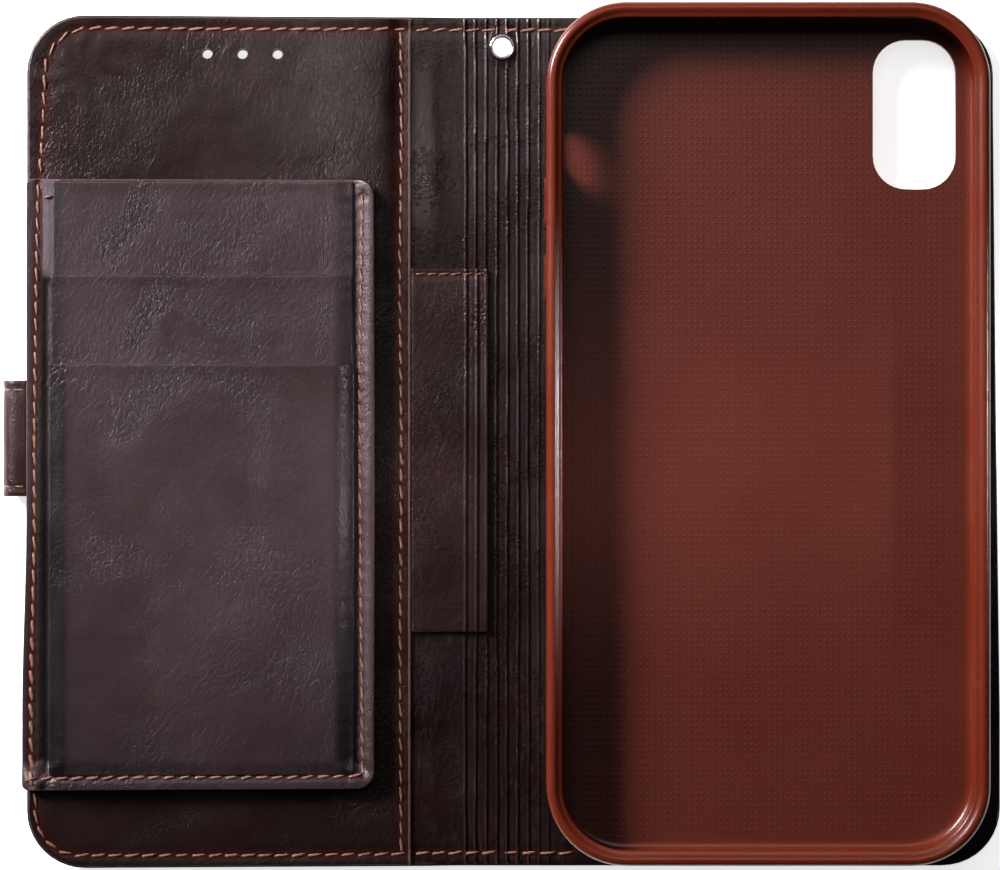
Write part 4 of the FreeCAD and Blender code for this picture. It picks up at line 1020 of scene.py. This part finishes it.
# ------------------------------------------------------------------ leaf with its card pockets
LX0, LX1, LY0, LY1 = -85.45, -22.75, -63.4, 46.6
LEAF_FOLD = (-84.4, -80.2)
COLUMN = [(-24.9, -60.9), (-25.3, -20.0), (-25.5, 10.0), (-25.2, 30.0), (-24.95, 44.2)]
ROW = [(-83.0, -61.2), (-60.0, -61.0), (-40.0, -61.15), (-24.9, -60.9)]
LEAF_LEFT = [p for p in BORDER_LEFT if -66 < p[1] < 50]
LEAF_LEFT = [(-83.15, 46.0)] + [p for p in LEAF_LEFT if p[1] < 46] + [(-83.9, -62.8)]


def lift(x, y):
    """How far the leaf's sewn right and lower margins curl up off the cover."""
    t = np.clip((np.asarray(x, float) + 27.3) / 4.6, 0, 1)
    r = 1.35 * (t - 0.16 * np.sin(2 * math.pi * t))
    return np.maximum(r, 1.5 * (1 - smooth(-61.6, -58.2, y)) * smooth(-86.5, -83.3, x))


def lifted(co):
    out = np.array(co, float)
    out[:, 2] += lift(out[:, 0], out[:, 1])
    # the sewn edge runs a little askew, out past the cover's edge towards its lower end
    out[:, 0] -= 0.75 * (1 - smooth(-50, -13, out[:, 1])) * (1 - smooth(-84.6, -82.6, out[:, 0]))
    return slope(out)


def base_top(x, y):
    h = 0.03 * W_LEAF(x, y)
    h = h + seam_dip(x, y, COLUMN, deep=0.30, wide=0.42, soft=0.10, pucker=0.07)
    h = h + seam_dip(x, y, ROW, deep=0.28, wide=0.42, soft=0.08, pucker=0.06)
    h = h + seam_dip(x, y, LEAF_LEFT, deep=0.26, wide=0.42, soft=0.05, pucker=0.05)
    # the left margin: flat beside the top pocket, where a highlight is painted on it, and a dark valley beside the
    # lower two, where shade is painted in it
    low = 1 - smooth(27.5, 30.5, y)
    return h - 0.46 * np.exp(-((x + 81.7) / 0.9) ** 2) * low - 0.10 * np.exp(-((x + 80.7) / 0.4) ** 2)


LEAF_TX = share(column([(LX0, -79, 0.3), (-79, -29, 0.9), (-29, LX1, 0.28)]), LX0, LX1, 3.2)
LEAF_TY = share(column([(LY0, -56, 0.35), (-56, 42, 0.9), (42, LY1, 0.4)]), LY0, LY1, 3.2)
leaf_back = slab("leaf_back_sheet", LX0, LX1, LY0, LY1, 3.08, 3.70, (1.0, 3.2, 3.2, 1.0), edge=0.2,
                 under=lambda x, y: 0.03 + 0.02 * W_LEAF(x, y) + 0.24 * np.exp(-(np.minimum(np.minimum(near(x, y, COLUMN)[0], near(x, y, ROW)[0]), near(x, y, LEAF_LEFT)[0]) / 0.45) ** 2),
                 mats=[M_LEAF, M_EDGE], edge_slot=1, tx=LEAF_TX, ty=LEAF_TY, core=3.2)
leaf_base = slab("leaf_base_sheet", LX0 + 0.05, LX1 - 0.12, LY0 + 0.1, LY1, 3.74, 4.35, (1.0, 3.1, 3.1, 1.0), edge=0.2,
                 top=base_top, mats=[M_LEAF, M_EDGE], edge_slot=1, tx=LEAF_TX, ty=LEAF_TY, core=3.2,
                 attrs={"seam": lambda x, y: np.exp(-(np.minimum(np.minimum(near(x, y, COLUMN)[0], near(x, y, ROW)[0]), near(x, y, LEAF_LEFT)[0]) / 0.42) ** 2),
                        # painted shade in the left valley beside the lower two pockets
                        "shade": lambda x, y: 0.9 * np.exp(-((x + 81.6) / 1.1) ** 2) * (1 - smooth(26, 30, y)),
                        # painted highlight on the left margin beside the top pocket
                        "rim": lambda x, y: np.where((x < -80.0) & (x > -82.9) & (y > 29), 0.9, 0.0)})
for o in (leaf_back, leaf_base):
    # the cut edge shows as a thin pale line along the free sides
    edge_by(o, lambda x, y, z: 1 if (x > LX1 - 0.36 or y < LY0 + 0.34 or y > LY1 - 0.16) and x > -84 else None, every=True)
reshape(leaf_back, lifted)
reshape(leaf_base, lifted)


def pocket_top(rise, mouth, seed):
    w = waves(seed, 8, 12, 50)

    def f(x, y):
        h = 0.07 * w(x, y) + 0.015 * W_SMALL(x, y)
        # the panel rounds down at its sides and at the sewn bottom, and its mouth stands a little open
        h = h + 0.12 * np.exp(-((mouth - y) / 1.6) ** 2) * smooth(-80.5, -76, x) * (1 - smooth(-32, -27, x))
        h = h + 0.05 * np.sin(y * 2.33 + 0.7 * np.sin(y * 0.5)) * smooth(-30.5, -27.5, x)
        h = h + 0.03 * np.sin(x * 2.33) * (1 - smooth(-60.0, -57.5, y))
        # lower panels press through the upper ones at their mouths
        for m in (29.3, 13.3):
            if m < mouth - 1:
                h = h + 0.08 * (1 - smooth(m - 0.5, m + 0.5, y))
        return h

    return f


# each with the Y of its sewn end and how far it is pressed down at its sides and at that end
POCKETS = [("card_pocket_rear", 4.36, 4.92, 46.2, -80.6, -26.55, 31, -58.0, 0.16, 0.0),
           ("card_pocket_middle", 4.96, 5.50, 29.3, -80.9, -26.75, 32, -58.6, 0.50, 0.25),
           ("card_pocket_front", 5.56, 6.12, 13.3, -81.2, -26.45, 33, -60.8, 0.95, 0.32)]
pockets = []
for name, z0, z1, mouth, px0, px1, seed, end, side, low in POCKETS:
    p = slab(name + "_panel", px0, px1, end, mouth, z0, z1, (0.6, 0.6, 0.3, 0.3), edge=0.22,
             top=pocket_top(side, mouth, seed),
             mats=[M_LEAF],
             # painted shade along the panel's sewn sides
             attrs={"shade": lambda x, y, k=0.55 if seed == 33 else 0.3: k * (0.9 * (1 - smooth(-81.2, -77.0, x)) + 0.42 * smooth(-31.0, -26.4, x))},
             tx=share(column([(px0, -76, 0.35), (-76, -34, 0.8), (-34, px1, 0.3)]), px0, px1, 0.7),
             ty=share(column([(-61, -56.5, 0.25), (-56.5, mouth - 3, 0.8), (mouth - 3, mouth, 0.35)]), end, mouth, 0.7), core=0.7)
    # the panel rounds down to the base along its sewn sides and bottom
    def settle(co, side=side, low=low):
        out = np.array(co, float)
        x, y = out[:, 0], out[:, 1]
        out[:, 2] -= np.maximum(side * np.maximum(smooth(-30.2, -26.5, x), 0.25 * (1 - smooth(-81.2, -78.2, x))) * smooth(-61.0, -58.0, y),
                                low * (1 - smooth(-61.0, -58.0, y)))
        return slope(out)
    reshape(p, settle)
    pockets.append(p)

# ------------------------------------------------------------------ strap
SX, SZ, SR = -87.7, 2.5, 1.7
S1, S2 = 2.1, 2.1 + math.pi * 1.7
SEND = S2 + (87.7 - 53.0)


def strap_map(co):
    """Flat strap coordinates (length, Y, outward) to the folded strap."""
    co = np.asarray(co, float)
    s, y, t = co[:, 0], co[:, 1], co[:, 2]
    a = np.clip((s - S1) / SR, 0, math.pi)
    px = np.where(s < S1, SX + (S1 - s), np.where(s > S2, SX + (s - S2), SX - SR * np.sin(a)))
    pz = np.where(s < S1, SZ + SR, np.where(s > S2, SZ - SR, SZ + SR * np.cos(a)))
    nx = np.where((s < S1) | (s > S2), 0.0, -np.sin(a))
    nz = np.where(s < S1, 1.0, np.where(s > S2, -1.0, np.cos(a)))
    return np.stack([px + nx * t, y, pz + nz * t], 1)


W_STRAP = waves(41, 8, 5, 30)
ROWS_S = (8.65, -8.85)


def strap_top(x, y):
    h = 0.04 * W_STRAP(x * 2.0, y * 0.7)
    for r in ROWS_S:
        h = h - 0.17 * np.exp(-((y - r) / 0.35) ** 2)
    h = h - 0.17 * np.exp(-((x - (SEND - 1.8)) / 0.35) ** 2) * (np.abs(y) < 8.7)
    return h


scols = column([(0.0, 0.9, 0.45), (0.9, 8.6, 0.22), (8.6, 19, 0.8), (19, 27, 0.5), (27, SEND, 0.8)])
strap = slab("strap", 0.0, SEND, -10.6, 10.4, -0.78, 0.76, (0, 4, 4, 0), edge=0.3, top=strap_top, mats=[M_STRAP, M_EDGE_DARK], edge_slot=1,
             tx=share(scols, 0.0, SEND, 4.0), ty=share(column([(-10.6, 10.4, 0.45)]), -10.6, 10.4, 4.0), core=4.0,
             attrs={"seam": lambda x, y: 0.6 * np.exp(-(np.minimum(np.abs(y - ROWS_S[0]), np.abs(y - ROWS_S[1])) / 0.3) ** 2)})
SM = (S1 + S2) / 2
strap_upper, rest_s = split(strap, SM, "strap_bend_upper", "strap_rest")
strap_side, strap_tip = split(rest_s, S2 + 9.7, "strap_bend_lower", "strap_tip_band")
for o in (strap_upper, strap_side, strap_tip):
    reshape(o, strap_map)

# ------------------------------------------------------------------ shell
s0, s1 = SHELL0, SHELL1


def shell_mesh():
    prof = [(9.0, 3.0), (5.0, 3.0), (2.2, 3.0), (1.2, 3.02), (0.62, 3.14), (0.24, 3.42), (0.05, 3.85), (0.0, 4.5), (0.0, 7.0), (0.0, 10.0), (0.0, 12.2),
            (0.05, 12.75), (0.22, 13.2), (0.5, 13.5), (0.85, 13.66), (1.15, 13.70), (1.45, 13.66), (1.75, 13.50), (2.0, 13.30), (2.35, 13.16), (2.62, 13.1), (2.78, 13.0), (2.85, 12.86),
            (2.80, 12.74), (2.62, 12.7), (2.2, 12.66), (1.85, 12.45), (1.66, 12.0), (1.6, 11.2), (1.6, 9.0), (1.6, 6.5), (1.62, 5.6), (1.75, 4.95), (2.1, 4.5),
            (2.6, 4.27), (3.3, 4.2), (5.0, 4.2), (9.0, 4.2)]
    x0, x1, y0, y1 = s0[0], s1[0], s0[1], s1[1]
    core = 14.3
    tx = np.linspace(0, 1, 28)
    ty = np.linspace(0, 1, 56)
    prof = [(14.3, 3.0)] + prof + [(14.3, 4.2)]
    co, faces, rows = [], [], []
    for inset, z in prof:
        pts = ring(x0, x1, y0, y1, (14.3,) * 4, inset, tx, ty, 16)
        rows.append(len(co))
        co += [(x, y, z) for x, y in pts]
    n = len(pts)
    index = []
    for k in range(len(prof) - 1):
        a, b = rows[k], rows[k + 1]
        faces += [(a + i, a + (i + 1) % n, b + (i + 1) % n, b + i) for i in range(n)]
        index += [1 if k >= 36 else 0] * n
    gx = x0 + core + (x1 - x0 - 2 * core) * tx
    gy = y0 + core + (y1 - y0 - 2 * core) * ty
    for z in (3.0, 4.2):
        base = len(co)
        for yy in gy:
            co += [(xx, yy, z) for xx in gx]
        w = len(gx)
        for j in range(len(gy) - 1):
            for i in range(w - 1):
                q = (base + j * w + i, base + j * w + i + 1, base + (j + 1) * w + i + 1, base + (j + 1) * w + i)
                faces.append(q if z > 4 else q[::-1])
                index.append(1 if z > 4 else 0)
    return mesh_object("phone_shell_piece", np.array(co), faces, [M_SHELL, M_FLOOR], index)


shell = shell_mesh()
WX = s0[0]
EX = s1[0]
cuts = [post("c1", stadium(67.5, 82.5, 45.0, 72.0, 6.0), 2, 6),
        post("c2", stadium(47.9 - 6.5, 47.9 + 6.5, 5.2, 11.4, 2.9), s0[1] - 2, s0[1] + 2.6, "y"),
        post("c3", stadium(47.9 - 18.5 - 6.75, 47.9 - 18.5 + 6.75, 6.8, 9.8, 1.45), s0[1] - 2, s0[1] + 2.6, "y"),
        post("c4", stadium(47.9 + 18.5 - 6.75, 47.9 + 18.5 + 6.75, 6.8, 9.8, 1.45), s0[1] - 2, s0[1] + 2.6, "y"),
        post("c5", stadium(53.3 - 4.5, 53.3 + 4.5, 5.7, 10.9, 2.4), WX - 2, WX + 2.6, "x")]
for node in ("power_button_pad", "volume_up_pad", "volume_down_pad"):
    lo, hi = mmbox(node)
    g = 0.12
    v = (hi[2] - lo[2]) / 2 + g - 0.02
    outline = stadium(lo[1] - g, hi[1] + g, lo[2] - g, hi[2] + g, v)
    if lo[0] > 40:
        cuts.append(post("cw_" + node, outline, lo[0] - 0.45, hi[0] + 2, "x"))
    else:
        cuts.append(post("cw_" + node, outline, lo[0] - 2, hi[0] + 0.45, "x"))
bore(shell, cuts)
drop(*cuts)

# ------------------------------------------------------------------ eyelet
eyelet = lathe("eyelet_ring", EYE[0], EYE[1],
               [(1.72, 0.35), (1.70, 1.5), (1.70, 2.6), (1.75, 2.86), (1.88, 3.02), (2.05, 3.06), (2.22, 2.98), (2.32, 2.80), (2.34, 2.62),
                (2.2, 2.58), (1.93, 2.5), (1.93, 0.62), (2.22, 0.5), (2.34, 0.36), (2.3, 0.16), (2.1, 0.03), (1.88, 0.02), (1.76, 0.14)], [M_EYELET])

# ------------------------------------------------------------------ threads


def on_front(x, y):
    return 3.0 + front_top(x, y)


def on_spine(x, y):
    return 2.7 + spine_top(x, y)


def on_base(x, y):
    return 4.35 + base_top(x, y)


def on_skin(x, y):
    return skin_under(x, y)


def part_of(path, test):
    """The stretch of a path (finely divided) whose points pass the test."""
    out = []
    for (ax, ay), (bx, by) in zip(path[:-1], path[1:]):
        n = max(1, int(math.hypot(bx - ax, by - ay) / 0.5))
        for i in range(n):
            q = (ax + (bx - ax) * i / n, ay + (by - ay) * i / n)
            if test(*q):
                out.append(q)
    if test(*path[-1]):
        out.append(path[-1])
    return out


top_cover = part_of(BORDER, lambda x, y: x < SEAM - 0.4 and y > 47.2)
low_cover = part_of(BORDER, lambda x, y: x < SEAM - 0.4 and y < -63.8)
top_span = part_of(BORDER, lambda x, y: SEAM + 0.4 < x < MID and y > 0)
low_span = part_of(BORDER, lambda x, y: SEAM + 0.4 < x < MID and y < 0)
top_back = part_of(BORDER, lambda x, y: x > MID + 0.2 and y > 0)
low_back = part_of(BORDER, lambda x, y: x > MID + 0.2 and y < 0)
skin_front = part_of(BORDER, lambda x, y: x < MID - 0.2)

t_cover = threads("cover_stitches", [(top_cover, on_front), (low_cover, on_front), (SEAM_PATH, on_front, 0.72)], [M_THREAD], shape=lambda co: slope(co), seed=5)
t_skin = threads("cover_stitches_outside", [(part_of(skin_front, lambda x, y: x < SKIN2[0] - 0.6 and y > 0), on_skin),
                                            (part_of(skin_front, lambda x, y: x < SKIN2[0] - 0.6 and y < 0), on_skin), (SEAM_PATH, on_skin)],
                 [M_THREAD], shape=lambda co: slope(co), seed=6, flip=-0.6)
t_span = threads("fold_stitches_front", [(top_span, on_spine), (low_span, on_spine)], [M_THREAD], shape=sloped(LIN2), seed=7)
t_back = threads("fold_stitches_back", [(top_back, on_spine), (low_back, on_spine)], [M_THREAD], seed=8)
t_patch = threads("patch_stitches", [([(-15.4, 29.7), (-2.6, 29.7)], lambda x, y: 3.3 + patch_top(x, y), 0.55)], [M_THREAD], shape=sloped(LIN2),
                  long=2.1, pitch=2.2, wide=0.34, seed=9)
t_margin = threads("margin_stitches", [(LEAF_LEFT, on_base)], [M_THREAD], shape=lifted, seed=10)
t_leaf = threads("leaf_stitches", [(COLUMN, on_base, 0.62), (ROW, lambda x, y: on_base(x, y) + 0.16, 1.05), ([(-82.2, 43.4), (-80.4, 43.4)], on_base, 0.7),
                                   ([(-85.2, -61.5), (-83.1, -61.2)], on_base, 0.7)], [M_THREAD], shape=lifted, seed=11,
                 long=2.6, pitch=2.72, wide=0.50, slant=11.0)
t_leafb = threads("leaf_stitches_behind", [(COLUMN, lambda x, y: 0 * x + 3.3), (ROW, lambda x, y: 0 * x + 3.3)], [M_THREAD],
                  shape=lifted, seed=12, flip=-0.5)
t_strap = []
for nm, a, b in (("strap_stitches_upper", 0.3, SM - 0.1), ("strap_stitches_lower", SM + 0.1, S2 + 9.6)):
    t_strap.append(threads(nm, [([(a, r), (b, r)], lambda x, y: 0.76 + strap_top(x, y)) for r in ROWS_S], [M_THREAD],
                           shape=strap_map, long=1.9, pitch=2.2, wide=0.34, high=0.26, seed=13, flip=0.5, slant=3))
t_tip = threads("strap_stitches_tip", [([(S2 + 9.8, r), (SEND - 2.4, r)], lambda x, y: 0.76 + strap_top(x, y)) for r in ROWS_S]
                + [([(SEND - 1.8, -7.4), (SEND - 1.8, 7.2)], lambda x, y: 0.76 + strap_top(x, y))], [M_THREAD],
                shape=strap_map, long=1.9, pitch=2.2, wide=0.34, high=0.26, seed=14, flip=0.5, slant=3)
drop(camera_post, eye_post, eye_wide, *cut)

# ------------------------------------------------------------------ bodies and the CAD nodes these stand for
done(lining, "lining_leather", ["front_lining"], body="front")
done(front_skin, "outer_leather", ["front_outer_leather"], bend=bend_at(SKIN2, "front", "spine"))
done(back_skin, "outer_leather", ["back_outer_leather", "spine_outer_leather"], bend=bend_at(SKIN1, "spine", "back"))
done(spine_front, "lining_leather", ["spine_leather_wing", "spine_lining"], bend=bend_at(LIN2, "front", "spine"))
done(back_lining, "lining_leather", ["back_lining"], bend=bend_at(LIN1, "spine", "back"))
done(patch, "patch_leather", ["spine_patch", "spine_patch_wing"], bend=bend_at(LIN2, "front", "spine"))
lf = lambda x: slope(np.array([[x, 0, 4.4]]))[0]
leaf_bend = ("front", "leaf", list(lf(LEAF_FOLD[0])), list(lf(LEAF_FOLD[1])))
done(leaf_back, "leaf_leather", ["leaf_back_leather", "leaf_sewn_margin"], bend=leaf_bend)
done(leaf_base, "leaf_leather", ["leaf_front_base"], bend=leaf_bend)
for p, row in zip(pockets, POCKETS):
    done(p, "leaf_leather", [row[0]], body="leaf")
done(strap_upper, "outer_leather", ["strap_fold"], bend=("front", "strap_bridge", (-87.6, 0, 4.6), (-89.8, 0, 2.6)))
done(strap_side, "outer_leather", ["strap_side_outer", "strap_side_inner"], bend=("strap_bridge", "strap_side", (-89.8, 0, 2.4), (-87.6, 0, 0.4)))
done(strap_tip, "outer_leather", ["strap_tip_outer", "strap_tip_inner"], bend=("strap_side", "strap_tip", (-70.2, 0, 0.8), (-67.0, 0, 0.8)))
done(shell, "shell_tpu", ["phone_shell"], body="back")
done(eyelet, "eyelet_metal", ["eyelet_barrel", "eyelet_washer"], body="spine")
done(t_cover, "thread", ["front_border_stitching", "hinge_seam_stitching"], body="front")
done(t_skin, "thread", body="front")
done(t_span, "thread", bend=bend_at(LIN2, "front", "spine"))
done(t_back, "thread", bend=bend_at(LIN1, "spine", "back"))
done(t_patch, "thread", ["patch_stitching"], bend=bend_at(LIN2, "front", "spine"))
done(t_margin, "thread", ["leaf_margin_stitching"], body="front")
done(t_leaf, "thread", ["leaf_pocket_stitching"], body="leaf")
done(t_leafb, "thread", body="leaf")
done(t_strap[0], "thread", bend=("front", "strap_bridge", (-87.6, 0, 4.6), (-89.8, 0, 2.6)))
done(t_strap[1], "thread", bend=("strap_bridge", "strap_side", (-89.8, 0, 2.4), (-87.6, 0, 0.4)))
done(t_tip, "thread", bend=("strap_side", "strap_tip", (-70.2, 0, 0.8), (-67.0, 0, 0.8)))

KEPT = {"front_board": M_BOARD, "back_board": M_BOARD, "spine_reinforcement": M_BOARD, "strap_side_core": M_BOARD,
        "back_steel_keeper": M_STEEL, "strap_magnet": M_STEEL, "shell_adhesive_sheet": M_GLUE, "strap_anchor_tab": M_STRAP,
        "power_button_pad": M_SHELL, "volume_up_pad": M_SHELL, "volume_down_pad": M_SHELL}
for node, mat in KEPT.items():
    ob = frame["nodes"][node]
    ob.data.materials.clear()
    ob.data.materials.append(mat)
    if node.endswith("_pad"):
        b = ob.modifiers.new("soft_edges", "BEVEL")
        b.width = 0.0002
        b.segments = 3
        b.limit_method = "ANGLE"

# ------------------------------------------------------------------ floor, light, camera
scene = bpy.context.scene
bpy.ops.mesh.primitive_plane_add(size=6.0, location=(0, 0, -0.0002))
floor = bpy.context.object
floor.name = "studio_floor"
fm = Nodes("floor_white")
fm.bsdf.inputs["Base Color"].default_value = (0.93, 0.93, 0.93, 1)
fm.bsdf.inputs["Roughness"].default_value = 0.9
fm.bsdf.inputs["Specular IOR Level"].default_value = 0.1
fm.bsdf.inputs["Emission Color"].default_value = (1, 1, 1, 1)
fm.bsdf.inputs["Emission Strength"].default_value = 0.75
floor.data.materials.append(fm.mat)

world = bpy.data.worlds.new("studio_world")
scene.world = world
world.use_nodes = True
world.node_tree.nodes["Background"].inputs["Color"].default_value = (1, 1, 1, 1)
world.node_tree.nodes["Background"].inputs["Strength"].default_value = 0.015


def area(name, loc, aim, sx, sy, power, grid=None):
    li = bpy.data.lights.new(name, "AREA")
    li.shape = "RECTANGLE"
    li.size, li.size_y = sx, sy
    li.energy = power
    if grid:
        li.spread = math.radians(grid)
    ob = bpy.data.objects.new(name, li)
    scene.collection.objects.link(ob)
    ob.location = loc
    ob.rotation_euler = (Vector(aim) - Vector(loc)).to_track_quat("-Z", "Y").to_euler()
    return ob


area("key_light", (-0.50, 0.37, 0.32), (-0.062, 0.086, 0.0), 0.30, 0.26, 1.15, grid=37)
area("top_light", (-0.05, 0.46, 1.0), (0.0, 0.0, 0.0), 0.8, 0.5, 2.0)
area("right_light", (0.75, 0.05, 0.42), (0.09, 0.0, 0.0), 0.03, 0.30, 0.026, grid=5)
area("sheen_light", (-0.165, 0.160, 1.0), (-0.030, 0.058, 0.0), 0.024, 0.04, 0.0006, grid=2)

cam = bpy.data.cameras.new("camera")
cam.sensor_width = 36
cam.sensor_fit = "HORIZONTAL"
cam.lens = 111.25
cam.clip_start = 0.02
cam.clip_end = 20
camera = bpy.data.objects.new("camera", cam)
scene.collection.objects.link(camera)
camera.location = (0, 0.0005, 0.5637)
camera.rotation_euler = (0, 0, 0)
scene.camera = camera
scene.view_settings.view_transform = "Standard"
scene.view_settings.look = "None"
scene.view_settings.exposure = 0.0
